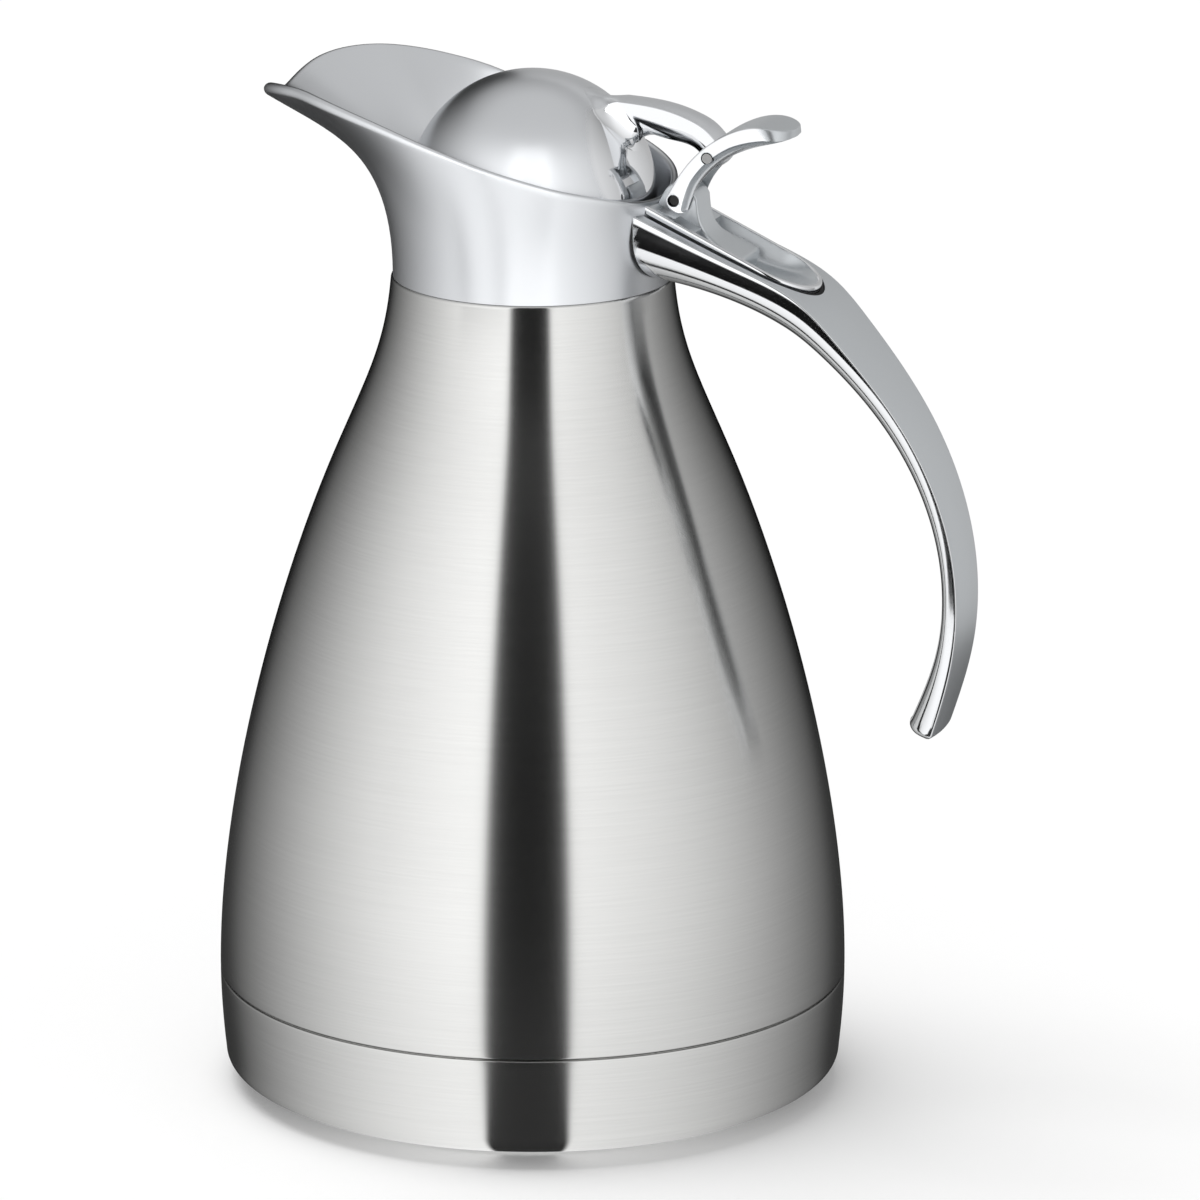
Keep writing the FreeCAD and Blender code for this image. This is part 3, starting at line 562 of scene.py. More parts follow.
SPOUT_ROOT_SHARE = 0.65
SIDE_ROOT_SHARE = 0.35
SPOUT_LIP = np.array((17.0, 9.0))
SIDE_LIP = np.array((0.0, 10.0))
DECK_TOP = 209.8
DECK_THICK = 2.5
DECK_SKIRT = 7.0
DECK_HOLE = NECK_RADIUS - 7.0
DECK_SOCKET = NECK_RADIUS + FIT


def collar_section(rim):
    """Wall of the collar under one point of the rim: outer side, round lip and inner side."""
    radius = math.hypot(rim[0], rim[1])
    flare = max(0.0, (radius - WALL_MIDDLE) / (SPOUT_REACH - WALL_MIDDLE))
    crest = np.array((radius, rim[2]))
    slope = flare * SPOUT_LIP + (1 - flare) * SIDE_LIP
    rear = np.clip((rim[0] - REAR_START) / (REAR_FULL - REAR_START), 0, 1)
    slope[0] += rear * (max(0, radius - WALL_MIDDLE) - slope[0])
    along = slope / np.linalg.norm(slope) * (COLLAR_WALL + flare * LIP_SWELL) / 2
    across = np.array((-along[1], along[0]))
    root = np.array((COLLAR_RADIUS, NECK_SEAM))
    share = SPOUT_ROOT_SHARE + (SIDE_ROOT_SHARE - SPOUT_ROOT_SHARE) * (1 - flare) ** 2
    rise = root + (0, share * (rim[2] - NECK_SEAM))
    inward = np.array((-COLLAR_WALL, 0))
    lip = crest - along
    outer = bezier([root, rise, crest - slope - across, lip - across], 28)
    turn = np.radians(np.linspace(-90, 90, 13))[1:-1, None]
    edge = lip + np.cos(turn) * along + np.sin(turn) * across
    inner = bezier([lip + across, crest - slope + across, rise + inward, root + inward], 24)
    wall = np.vstack([outer, edge, inner])
    return np.column_stack([wall[:, :1] * rim[:2] / radius, wall[:, 1]])


def make_collar():
    half = np.array(RIM)
    mirror = half * (1, -1, 1)
    over = 4
    line = np.vstack([mirror[over:0:-1], half, mirror[-2:-2 - over:-1]])
    rim = smooth_line(line, np.linspace(over, over + len(half) - 1, RIM_ROWS))
    rim[[0, -1], 1] = 0
    rim = np.vstack([rim, (rim * (1, -1, 1))[-2:0:-1]])
    collar = skin("collar", [collar_section(point) for point in rim], COLLAR_CHROME, hoop=True)
    seat(collar, "flask", "satin_chrome", "spout_collar")
    low = DECK_TOP - DECK_THICK
    foot = low - DECK_SKIRT
    section = [(DECK_HOLE, DECK_TOP), (WALL_MIDDLE, DECK_TOP), (WALL_MIDDLE, foot), (DECK_SOCKET, foot),
               (DECK_SOCKET, low), (DECK_HOLE, low)]
    seat(turned("collar_deck", section, COLLAR_CHROME), "flask", "satin_chrome", "spout_collar")


# Lid: a turned ball and an arm that flares out of it

ARM_HALF = 4.3
ARM_CROWN = 0.45
ARM_EDGE = 0.12
# Poles of the arm's flank in shares of its half width and of its height
ARM_FLANK = np.array([(0.97, 0.72), (1.0, 0.05), (0.6, 0.0), (0.0, 0.0)])
ARM_ROWS = 40
ARM_CREASE = 30
ARM_TOP_START = 1.65
ARM_UNDER_START = 1.38
ARM_TOP = [(-28.0, 23.5), (-20.2, 22.3), (-12.7, 21.9), (-3.4, 20.9), (2.3, 19.2), (6.3, 17.2)]
ARM_UNDER = [(-15.7, 14.4), (-9.2, 14.2), (-2.7, 12.9), (3.3, 11.3)]
KNUCKLE = 3.2
CAP_STOPS = np.linspace(0, 0.965, 8)
SIDE_STOPS = 18
ROOT_TOP = 243.7
ROOT_NOSE = (6.8, 240.1)
ROOT_SIDE = [(9.4, 239.0), (9.0, 231.0), (4.5, 229.8), (0.0, 229.8)]
FLARE_PULL = 0.45
TUCK_OUT = 0.8
TUCK_SHARE = 0.985


def make_ball():
    """Hollow ball with a flat cut below."""
    low = math.asin(-BALL_SKIRT / BALL_RADIUS)
    inner_radius = BALL_RADIUS - BALL_WALL
    inner_low = math.asin(-BALL_SKIRT / inner_radius)
    rise = np.linspace(low, math.pi / 2, 48)
    fall = np.linspace(math.pi / 2, inner_low, 32)
    outer = np.stack([BALL_RADIUS * np.cos(rise), BALL_HEIGHT + BALL_RADIUS * np.sin(rise)], 1)
    inner = np.stack([inner_radius * np.cos(fall), BALL_HEIGHT + inner_radius * np.sin(fall)], 1)
    piece = turned("lid_ball", np.vstack([outer, inner]), LID_CHROME, BALL_SEGMENTS)
    marks = piece.data.attributes.new("polish", "FLOAT", "POINT")
    marks.data.foreach_set("value", np.ones(len(piece.data.vertices)))
    seat(piece, "lid", "satin_chrome", "lid_dome")


def arm_loop(top, under):
    """Section of the arm between a point of its top line and one of its underside: crowned satin top, crisp
    edges and flat polished flanks that meet in a round keel."""
    height = np.linalg.norm(top - under)
    crown = ARM_CROWN / height
    cap = np.stack([CAP_STOPS * ARM_HALF, 1 - crown * CAP_STOPS ** 2], 1)
    edge = (ARM_HALF, 1 - crown - ARM_EDGE / height)
    side = bezier([edge, *(ARM_FLANK * (ARM_HALF, 1))], SIDE_STOPS)
    loop = both_sides(np.vstack([cap, side]))
    spine = under + loop[:, 1:] * (top - under)
    return np.stack([spine[:, 0], loop[:, 0], spine[:, 1]], 1)


def root_ring():
    """Ring on the ball where the arm's surfaces leave it, in the order of the arm's section."""
    side, nose = np.array(ROOT_NOSE)
    cap = np.stack([side * CAP_STOPS, ROOT_TOP - (ROOT_TOP - nose) * CAP_STOPS ** 2], 1)
    loop = both_sides(np.vstack([cap, bezier([ROOT_NOSE, *ROOT_SIDE], SIDE_STOPS)]))
    reach = np.sqrt(BALL_RADIUS ** 2 - loop[:, 0] ** 2 - (loop[:, 1] - BALL_HEIGHT) ** 2)
    return np.stack([reach, loop[:, 0], loop[:, 1]], 1)


def flare_rows(root, steps=18):
    """Rows that carry the arm's first loop out on to the ball and leave it along the ball's surface."""
    centre = np.array((0, 0, BALL_HEIGHT))
    middle = root.mean(0)
    axis = np.array((1.0, 0, 0))
    foot = root_ring()
    normal = (foot - centre) / BALL_RADIUS
    away = foot - middle
    away = away - normal * (away * normal).sum(1)[:, None]
    away = away / np.linalg.norm(away, axis=1)[:, None]
    pull = FLARE_PULL * np.linalg.norm(foot - root, axis=1)[:, None]
    share = np.linspace(1, 0, steps)[:-1, None, None]
    rows = ((1 - share) ** 3 * root + 3 * (1 - share) ** 2 * share * (root - axis * pull)
            + 3 * (1 - share) * share ** 2 * (foot - away * pull) + share ** 3 * foot)
    tucked = centre + (foot + away * TUCK_OUT - centre) * TUCK_SHARE
    return np.concatenate([tucked[None], rows])


def make_arm():
    turn = KNUCKLE * math.sqrt(0.5)
    top_stops = np.linspace(ARM_TOP_START, len(ARM_TOP), ARM_ROWS)
    under_stops = np.linspace(ARM_UNDER_START, len(ARM_UNDER), ARM_ROWS)
    tops = smooth_line([*(HINGE + ARM_TOP), ARM_PIN + turn], top_stops)
    unders = smooth_line([*(HINGE + ARM_UNDER), ARM_PIN - turn], under_stops)
    knuckle = np.radians(np.linspace(45, -125, 14))[1:]
    tops = np.vstack([tops, ARM_PIN + KNUCKLE * np.stack([np.cos(knuckle), np.sin(knuckle)], 1)])
    unders = np.vstack([unders, np.repeat(unders[-1:], len(knuckle), 0)])
    rows = np.array([arm_loop(top, under) for top, under in zip(tops, unders)])
    rows = np.concatenate([flare_rows(rows[0]), rows])
    satin = np.zeros(len(CAP_STOPS))
    polish = np.concatenate([satin, np.ones(2 * SIDE_STOPS - 1), satin[1:]])
    piece = skin("lid_arm", rows, ARM_CHROME, polish, ARM_CREASE)
    seat(piece, "lid", "satin_chrome", "lid_dome")


# Thumb lever

# Lines of the pad and of the underside in the middle plane, from the hinge to the tip
LEVER_TOP = [(-1.9, 0.8), (2.3, 7.6), (6.8, 12.6), (11.6, 16.0), (19.8, 18.8), (27.6, 17.8)]
LEVER_LOW = [(2.8, -2.4), (5.0, 3.0), (10.2, 8.9), (15.6, 12.3), (22.7, 14.7), (27.6, 15.9)]
LEVER_HEEL = (-0.7, -2.3)
LEVER_HALF = 8.0
LEVER_BEVEL = 2.2
BEVEL_SHARES = [0.2, 0.38, 0.42, 0.42, 0.3, 0.05]
PAD_CORNER = 6.5
TIP_SATIN = (4.02, 4.2)
TIP_START = 4.4
LEVER_EDGE = 0.45
# The bevel takes at most this share of the half width, and the round edge this share of the height
BEVEL_MOST = 0.6
EDGE_MOST = 0.3
# Middle pole of the hollow bevel, in shares of its width and height
HOLLOW_POLE = (0.85, 0.7)
LEAST_HEIGHT = 0.2
HOLLOW_POLISH = 0.35
PIN_ROOM = 1.45
SLOT_HALF = 5.3
SLOT_REST = 5.3


def lever_half_width(reach):
    """Half width of the lever at a distance from the hinge: the tip has large round corners."""
    over = np.clip(reach - (LEVER_TOP[-1][0] - PAD_CORNER), 0, PAD_CORNER)
    return LEVER_HALF - PAD_CORNER + math.sqrt(PAD_CORNER ** 2 - over ** 2)


def lever_loop(top, low, share):
    """Section of the lever: satin pad, polished cheeks and hollow bevels towards a narrower underside."""
    height = max(np.linalg.norm(top - low), LEAST_HEIGHT)
    half = lever_half_width(top[0] - HINGE[0])
    bevel = min(LEVER_BEVEL, BEVEL_MOST * half)
    round_over = min(LEVER_EDGE, EDGE_MOST * height)
    across = np.linspace(0, half - round_over, 9)
    pad = np.stack([across, np.ones(9)], 1)
    edge = bezier([pad[-1], (half, 1), (half, 1 - round_over / height)], 5)[1:]
    cheek = bezier([edge[-1], (half, share)], 5)[1:]
    pole = (half - HOLLOW_POLE[0] * bevel, HOLLOW_POLE[1] * share)
    hollow = bezier([(half, share), pole, (half - bevel, 0)], 8)[1:]
    sole = bezier([hollow[-1], (0, 0)], 5)[1:]
    right = np.vstack([pad, edge, cheek, hollow, sole])
    loop = both_sides(right)
    spine = low + loop[:, 1:] * (top - low)
    marks = np.concatenate([np.zeros(len(pad)), np.ones(len(edge) + len(cheek)),
                            np.full(len(hollow), HOLLOW_POLISH), np.zeros(len(sole))])
    polish = np.concatenate([marks, marks[-2:0:-1]])
    return np.stack([spine[:, 0], loop[:, 0], spine[:, 1]], 1), polish


def circle_through(a, b, c):
    """Centre of the circle through three points."""
    left = 2 * np.array([b - a, c - a])
    right = np.array([b @ b - a @ a, c @ c - a @ a])
    return np.linalg.solve(left, right)


def make_lever():
    tip = len(LEVER_TOP) - 1
    closer = tip - (tip - TIP_START) * np.cos(np.linspace(0.1, math.pi / 2, 14))
    stops = np.concatenate([np.linspace(0, TIP_START, 44), closer])
    tops = smooth_line(HINGE + LEVER_TOP, stops)
    lows = smooth_line(HINGE + LEVER_LOW, stops)
    shares = np.interp(stops, range(len(BEVEL_SHARES)), BEVEL_SHARES)
    start, end = tops[0], lows[0]
    centre = circle_through(start, HINGE + LEVER_HEEL, end)
    from_turn, to_turn = (math.atan2(*(p - centre)[::-1]) % (2 * math.pi) for p in (start, end))
    heel_turn = np.linspace(to_turn, from_turn, 14)[1:-1]
    heel = centre + np.linalg.norm(start - centre) * np.stack([np.cos(heel_turn), np.sin(heel_turn)], 1)
    tops = np.vstack([heel, tops])
    lows = np.vstack([np.repeat(end[None], len(heel), 0), lows])
    shares = np.concatenate([np.full(len(heel), shares[0]), shares])
    bright = np.concatenate([np.ones(len(heel)), np.interp(stops, TIP_SATIN, (1, 0))])
    loops = [lever_loop(*row) for row in zip(tops, lows, shares)]
    polish = bright[:, None] * loops[0][1]
    lever = skin("lever", [loop for loop, marks in loops], LEVER_CHROME, polish, FINE_CREASE)
    tie = (ARM_PIN - HINGE) / np.linalg.norm(ARM_PIN - HINGE)
    aside = np.array((-tie[1], tie[0])) * LEVER_HALF * 2
    reach, back = ARM_PIN + tie * SLOT_REST, HINGE - tie * LEVER_HALF * 2
    corners = [reach + aside, reach - aside, back - aside, back + aside]
    slot = skin("slot", [[(x, y, z) for x, z in corners] for y in (-SLOT_HALF, SLOT_HALF)])
    holes = [cross_bar("hole", PIN_ROOM, place, 2 * LEVER_HALF) for place in (HINGE, ARM_PIN)]
    carve(lever, [slot, *holes], FINE_CREASE)
    seat(lever, "lid", "bright_chrome", "thumb_lever")


# Saddle with its thumb cup and hinge tower, drawn level and laid on the slope behind the collar

SADDLE_FRONT = np.array((33.7, 218.2))
SADDLE_TILT = math.radians(24.7)
SADDLE_HALF = 11.0
SADDLE_LENGTH = 41.5
SADDLE_NOSE = 12.5
SADDLE_DEPTH = 6.4
SADDLE_START = -8.0
# Inset and height up the wall and over the rim
SADDLE_WALL = [(0.0, -SADDLE_DEPTH), (0.0, -0.8), (0.0, -0.6), (0.04, -0.34), (0.14, -0.12), (0.32, -0.03),
               (0.5, 0.0), (0.85, 0.0), (1.05, -0.03), (1.2, -0.12)]
LEVER_ROOM = 4.3
LEVER_SIDE_GAP = 0.4
CUP_START = 11.0
CUP_LEVEL = 6.0
CUP_DEPTH = 5.2
CUP_WALL = 1.3
CUP_LIP = 0.25
CUP_ROUND = 2.9
CUP_HOLLOW = 2.4
CUP_FRONT_LEAN = 0.6
CUP_INSETS = (1.3, 1.42, 1.6, 1.9, 2.3, 2.8, 3.4, 4.2, 5.2, 6.6, 8.2, 9.6, 10.4)
TOWER_RADIUS = 3.6
TOWER_HALF = 4.8
TOWER_ROUND = 1.1
TOWER_REAR = (4.4, 2.0)
TOWER_SHOULDER = 2.6
SWEEP_RISE = 1.6
SWEEP_RUN = 6.0
PLATFORM_HALF = 7.0
PLATFORM_DROP = 1.4
PLATFORM_GROW = 9.0
PLATFORM_END = 24.0
PLATFORM_EDGE = 1.2
PLATFORM_LEAN = 0.3
PLATFORM_CORNER = 1.5
TOWER_CREASE = 50


def on_saddle(points):
    """Points drawn level on the saddle, as run, breadth and height, in the jug's frame."""
    points = np.asarray(points, float)
    run, breadth, height = points[..., 0], points[..., 1], points[..., 2]
    c, s = math.cos(SADDLE_TILT), math.sin(SADDLE_TILT)
    x, z = SADDLE_FRONT[0] + run * c + height * s, SADDLE_FRONT[1] - run * s + height * c
    return np.stack([x, breadth, z], -1)


def saddle_loop(inset, start):
    """Plan of the saddle moved in by inset: straight sides and a half-oval rear end."""
    half, end, nose = SADDLE_HALF - inset, SADDLE_LENGTH - inset, SADDLE_NOSE - inset
    runs = np.linspace(start, end - nose, 24, endpoint=False)
    turn = np.radians(np.linspace(-90, 90, 41))
    near = np.stack([runs, np.full(24, -half)], 1)
    rear = np.stack([end - nose + nose * np.cos(turn), half * np.sin(turn)], 1)
    front = np.stack([np.full(9, start), np.linspace(half, -half, 11)[1:-1]], 1)
    return np.vstack([near, rear, (near * (1, -1))[::-1], front])


def cup_depth(run):
    """Depth of the thumb cup along its length: its floor rises to the rear rim."""
    start, end = CUP_START + CUP_LEVEL, SADDLE_LENGTH - CUP_WALL
    share = np.clip((run - start) / (end - start), 0, 1)
    return CUP_DEPTH * (1 - share ** CUP_HOLLOW)


def make_saddle():
    rows = []
    for inset, height in SADDLE_WALL:
        plan = saddle_loop(inset, SADDLE_START + inset)
        rows.append(np.column_stack([plan, np.full(len(plan), height)]))
    for inset in CUP_INSETS:
        plan = saddle_loop(inset, CUP_START + (inset - CUP_WALL) * CUP_FRONT_LEAN)
        slope = 1 - (1 - min((inset - CUP_WALL) / CUP_ROUND, 1)) ** CUP_HOLLOW
        rows.append(np.column_stack([plan, -CUP_LIP - (cup_depth(plan[:, 0]) - CUP_LIP) * slope]))
    polish = np.concatenate([np.ones(len(SADDLE_WALL)), np.zeros(len(CUP_INSETS))])[:, None]
    saddle = skin("saddle", on_saddle(rows), SADDLE_CHROME, polish)
    carve(saddle, [collar_bore(FIT), cross_bar("lever_room", LEVER_ROOM, HINGE, LEVER_HALF + LEVER_SIDE_GAP)])
    seat(saddle, "flask", "bright_chrome", "hinge_saddle")


def make_tower():
    """Lug between the lever's cheeks that sweeps down into a platform in the thumb cup."""
    along = HINGE - SADDLE_FRONT
    c, s = math.cos(SADDLE_TILT), math.sin(SADDLE_TILT)
    pin = np.array((along[0] * c - along[1] * s, along[0] * s + along[1] * c))
    turn = np.radians(np.linspace(180, 90, 14))
    crown = pin + TOWER_RADIUS * np.stack([np.cos(turn), np.sin(turn)], 1)
    rear = pin + TOWER_REAR
    shoulder = bezier([crown[-1], pin + (TOWER_SHOULDER, TOWER_RADIUS), rear], 10)[1:]
    sweep = bezier([rear, (CUP_START - SWEEP_RISE, SWEEP_RISE), (CUP_START, -PLATFORM_DROP),
                    (CUP_START + SWEEP_RUN, -PLATFORM_DROP)], 24)[1:]
    flat = bezier([sweep[-1], (PLATFORM_END - PLATFORM_EDGE, -PLATFORM_DROP)], 10)[1:]
    foot = (PLATFORM_END + PLATFORM_LEAN, -CUP_DEPTH)
    drop = bezier([flat[-1], (PLATFORM_END, -PLATFORM_DROP), foot], 8)[1:]
    line = np.vstack([crown, shoulder, sweep, flat, drop])
    rows = []
    for run, top in line:
        grow = np.clip((run - CUP_START) / PLATFORM_GROW, 0, 1)
        half = TOWER_HALF + (PLATFORM_HALF - TOWER_HALF) * grow ** 2 * (3 - 2 * grow)
        over = run - (PLATFORM_END - PLATFORM_CORNER)
        corner = np.clip(over / (PLATFORM_CORNER + PLATFORM_LEAN), 0, 1)
        half -= PLATFORM_CORNER * (1 - math.sqrt(1 - corner ** 2))
        soft = min(TOWER_ROUND, 0.5 * (top + SADDLE_DEPTH))
        side = [(half, -SADDLE_DEPTH), (half, top - soft)]
        edge = bezier([side[-1], (half, top), (half - soft, top)], 7)[1:]
        right = np.vstack([side, edge, [(half * 0.5, top)]])
        loop = np.vstack([right, [(0, top)], (right * (-1, 1))[::-1]])
        rows.append(np.column_stack([np.full(len(loop), run), loop]))
    tower = skin("hinge_tower", on_saddle(rows), SADDLE_CHROME, np.zeros(len(rows[0])), TOWER_CREASE)
    carve(tower, [collar_bore(FIT)], TOWER_CREASE)
    seat(tower, "flask", "bright_chrome", "hinge_saddle")


# Handle

HANDLE_REACH = 74.0
HANDLE_CROWN = 0.5
HANDLE_EDGE = 0.3
HANDLE_END = 1.8
# Hundredths of the reach: run and rise of the outer face, half width, depth and upright part of the flank
HANDLE_STATIONS = [(-4.1, 27.2, 20.9, 24.4, 6.2), (29.9, 12.7, 19.5, 15.2, 3.6), (50.9, 2.4, 18.4, 13.9, 2.6),
                   (62.4, -8.8, 17.3, 11.4, 1.3), (86.3, -39.9, 14.2, 8.2, 0.3),
                   (100.6, -78.0, 12.2, 7.3, 1.5), (101.0, -110.8, 11.6, 8.1, 2.2),
                   (93.4, -139.4, 10.3, 10.6, 0.6)]
HANDLE_ROWS = 120
HANDLE_GASKET = 1.0
FACE_STOPS = 9
LEAST_UPRIGHT = 0.1
KEEL_SIDE = 0.8
KEEL_FOOT = 0.6
POCKET_GAP = 1.15
POCKET_START = -16.0
POCKET_TOP = 12.0


def handle_loop(origin, normal, half, depth, upright):
    """Section of the handle: crowned outer face, crisp edges, flanks that start upright, rounded keel."""
    across = np.linspace(0, half - HANDLE_EDGE, FACE_STOPS)
    face = np.stack([across, -HANDLE_CROWN * (across / half) ** 2], 1)
    low = -HANDLE_CROWN - HANDLE_EDGE
    edge = bezier([face[-1], (half, -HANDLE_CROWN), (half, low)], 5)[1:]
    start = low - max(LEAST_UPRIGHT, upright)
    flat = bezier([(half, low), (half, start)], 4)[1:-1]
    side = bezier([(half, start), (half, -KEEL_SIDE * depth), (KEEL_FOOT * half, -depth), (0, -depth)], 20)
    right = np.vstack([face, edge, flat, side])
    loop = both_sides(right)
    marks = np.concatenate([np.zeros(FACE_STOPS), np.ones(len(right) - FACE_STOPS)])
    spine = origin + loop[:, 1:] * normal
    return np.stack([spine[:, 0], loop[:, 0], spine[:, 1]], 1), np.concatenate([marks, marks[-2:0:-1]])


def make_handle():
    stations = np.array(HANDLE_STATIONS) * HANDLE_REACH / 100
    spots = np.linspace(0, len(stations) - 1, HANDLE_ROWS)
    knots = np.concatenate([[0], np.cumsum(np.linalg.norm(np.diff(stations[:, :2], axis=0), axis=1))])
    line = smooth_line(stations[:, :2] + (COLLAR_RADIUS, NECK_SEAM), spots)
    reach = np.interp(spots, np.arange(len(stations)), knots)
    sizes = smooth_line(np.column_stack([knots, stations[:, 2:]]), spots)[:, 1:]
    ahead = np.gradient(line, axis=0)
    ahead /= np.linalg.norm(ahead, axis=1)[:, None]
    normals = np.stack([-ahead[:, 1], ahead[:, 0]], 1)
    keep = reach < knots[-1] - HANDLE_END
    places = zip(line[keep], normals[keep], sizes[keep])
    rows = [handle_loop(origin, normal, *size) for origin, normal, size in places]
    for turn in np.radians(np.linspace(0, 90, 8)):
        inset = HANDLE_END * (1 - math.cos(turn))
        origin = line[-1] - ahead[-1] * HANDLE_END * (1 - math.sin(turn)) - normals[-1] * inset
        rows.append(handle_loop(origin, normals[-1], *(sizes[-1] - (inset, 2 * inset, 0))))
    handle = skin("handle_grip", [loop for loop, polish in rows], HANDLE_CHROME, rows[0][1], FINE_CREASE)
    plan = saddle_loop(-POCKET_GAP, POCKET_START)
    ends = [np.column_stack([plan, np.full(len(plan), height)]) for height in (-SADDLE_DEPTH, POCKET_TOP)]
    carve(handle, [collar_bore(HANDLE_GASKET), skin("pocket", on_saddle(ends))], FINE_CREASE)
    seat(handle, "flask", "bright_chrome", "handle")


# Finishes by slot, and the pieces

BODY_STEEL = brushed_steel("body_steel", (0.66, 0.66, 0.65), 0.22)
FLASK_STEEL = brushed_steel("flask_steel", (0.52, 0.52, 0.51), 0.38)
SATIN = (0.68, 0.695, 0.715)
POLISH = (0.74, 0.75, 0.765)
CUP_SATIN = (0.60, 0.625, 0.645)
COLLAR_CHROME = plated("collar_chrome", SATIN, POLISH, 0.30, nowhere)
LID_CHROME = plated("lid_chrome", SATIN, POLISH, 0.29, rear_of_ball)
ARM_CHROME = plated("arm_chrome", SATIN, POLISH, 0.29, behind_the_slant)
LEVER_CHROME = plated("lever_chrome", CUP_SATIN, POLISH, 0.36, where_marked)
SADDLE_CHROME = plated("saddle_chrome", CUP_SATIN, POLISH, 0.38, where_marked)
HANDLE_CHROME = plated("handle_chrome", CUP_SATIN, POLISH, 0.36, where_marked)
BRIGHT_CHROME = plated("bright_chrome", SATIN, POLISH, 0.34, everywhere)
FASTENER_STEEL = turned_steel("fastener_steel", (0.5, 0.5, 0.5), 0.31)
BLACKENED_STEEL = turned_steel("blackened_steel", (0.06, 0.06, 0.06), 0.36)
SEAL_METAL = turned_steel("seal_metal", (0.45, 0.45, 0.46), 0.31)
BLACK_RUBBER = black_polymer("black_rubber", (0.012, 0.012, 0.012), 0.5)
BLACK_PLASTIC = black_polymer("black_plastic", (0.018, 0.018, 0.019), 0.38)

SLOT_FINISH = {
    "brushed_steel": BODY_STEEL,
    "flask_steel": FLASK_STEEL,
    "satin_chrome": COLLAR_CHROME,
    "bright_chrome": BRIGHT_CHROME,
    "fastener_steel": FASTENER_STEEL,
    "black_rubber": BLACK_RUBBER,
    "black_plastic": BLACK_PLASTIC,
    "seal_metal": SEAL_METAL,
}
for part in frame["record"]["subparts"]:
    mesh = nodes[part["node"]].data
    mesh.materials.clear()
    mesh.materials.append(SLOT_FINISH[part["material_slot"]])
nodes["hinge_pin"].data.materials[0] = BLACKENED_STEEL

TURNED_TREE = turned_tree()
make_body()
make_base()
make_collar()
make_ball()
make_arm()
make_lever()
make_saddle()
make_tower()
make_handle()


# Studio: camera, floor, light tent and lamps

VIEW_TURN = 20.0
VIEW_RISE = 15.618
VIEW_REACH = 2.0
VIEW_AIM = Vector((0, 0, 0.118))
PHOTO_SIDE = 1200
FOCAL_PIXELS = 8391.6
AXIS_PIXEL = 532.7
SENSOR = 36.0
AMBIENT = 0.42
FLOOR_HALF = 8.0
FLOOR_GLOW = 0.2
TENT_RADIUS = 3.0
TABLE_RADIUS = 0.4
TABLE_GLOW = 0.9
TABLE_SHARE = 0.85
TABLE_LEAST = 0.04
STRIP_DARK = 0.97
WALL_GLOW = 1.55
RIGHT_LOSS = 0.25
REAR_LOSS = 0.7
# Edges in degrees, each from dark to light or back: levels above the horizon and turns from the camera
TABLE_EDGE = (-56, -44)
ROOF = (35, 65)
ROOF_GLOW = 0.75
EAVES = (26, 55)
EAVES_GLOW = 0.6
DOOR_LEFT = (-19, -16)
DOOR_RIGHT = (12, 15)
DOOR_TOP = (50, 66)
SILL_LEFT = (-62, -58)
SILL_RIGHT = (-24, -20)
SILL_LOW = (-27, -25)
SILL_HIGH = (-10, -8)
DARK_GLOW = 0.01
RIGHT_FADE = (-30, 40)
REAR_FADE = (140, 170)


def outward(turn, rise):
    """Direction from the jug, turn degrees from the front towards the handle and rise above level."""
    a, e = math.radians(turn), math.radians(rise)
    return Vector((math.sin(a) * math.cos(e), -math.cos(a) * math.cos(e), math.sin(e)))


def make_camera():
    data = bpy.data.cameras.new("camera")
    data.sensor_width = SENSOR
    data.lens = SENSOR * FOCAL_PIXELS / PHOTO_SIDE
    data.shift_x = 0.5 - AXIS_PIXEL / PHOTO_SIDE
    data.clip_end = 50
    camera = bpy.data.objects.new("camera", data)
    back = outward(VIEW_TURN, VIEW_RISE)
    camera.location = VIEW_AIM + back * VIEW_REACH
    camera.rotation_mode = "QUATERNION"
    camera.rotation_quaternion = (-back).to_track_quat("-Z", "Y")
    bpy.context.scene.collection.objects.link(camera)
    bpy.context.scene.camera = camera


def seen_rays(g):
    """1 for rays that see the backdrop: camera, glossy and transmission rays."""
    rays = [g.add("ShaderNodeLightPath", out=kind) for kind in
            ("Is Camera Ray", "Is Glossy Ray", "Is Transmission Ray")]
    return (rays[0] + rays[1] + rays[2]).min(1.0)


def make_world():
    world = bpy.data.worlds.new("studio")
    world.use_nodes = True
    bpy.context.scene.world = world
    g = Graph(world.node_tree)
    strength = AMBIENT + seen_rays(g) * (1 - AMBIENT)
    light = g.add("ShaderNodeBackground", sockets={"Color": rgba(1, 1, 1), "Strength": strength})
    g.add("ShaderNodeOutputWorld", sockets={"Surface": light})


def stage_mesh(name, verts, faces, material):
    mesh = bpy.data.meshes.new(name)
    mesh.from_pydata(verts, [], faces)
    mesh.materials.append(material)
    thing = new_piece(name, mesh)
    return thing


def make_floor():
    material, g = new_finish("floor")
    side = FLOOR_HALF
    matte = g.add("ShaderNodeBsdfDiffuse", sockets={"Color": rgba(0.8, 0.8, 0.8)})
    lit = g.add("ShaderNodeEmission", sockets={"Color": rgba(1, 1, 1), "Strength": seen_rays(g) * FLOOR_GLOW})
    both = g.add("ShaderNodeAddShader", sockets={0: matte, 1: lit})
    g.add("ShaderNodeOutputMaterial", sockets={"Surface": both})
    floor = stage_mesh("floor", [(-side, -side, 0), (side, -side, 0), (side, side, 0), (-side, side, 0)],
                       [(0, 1, 2, 3)], material)
    floor.visible_glossy = False
    floor.visible_shadow = False


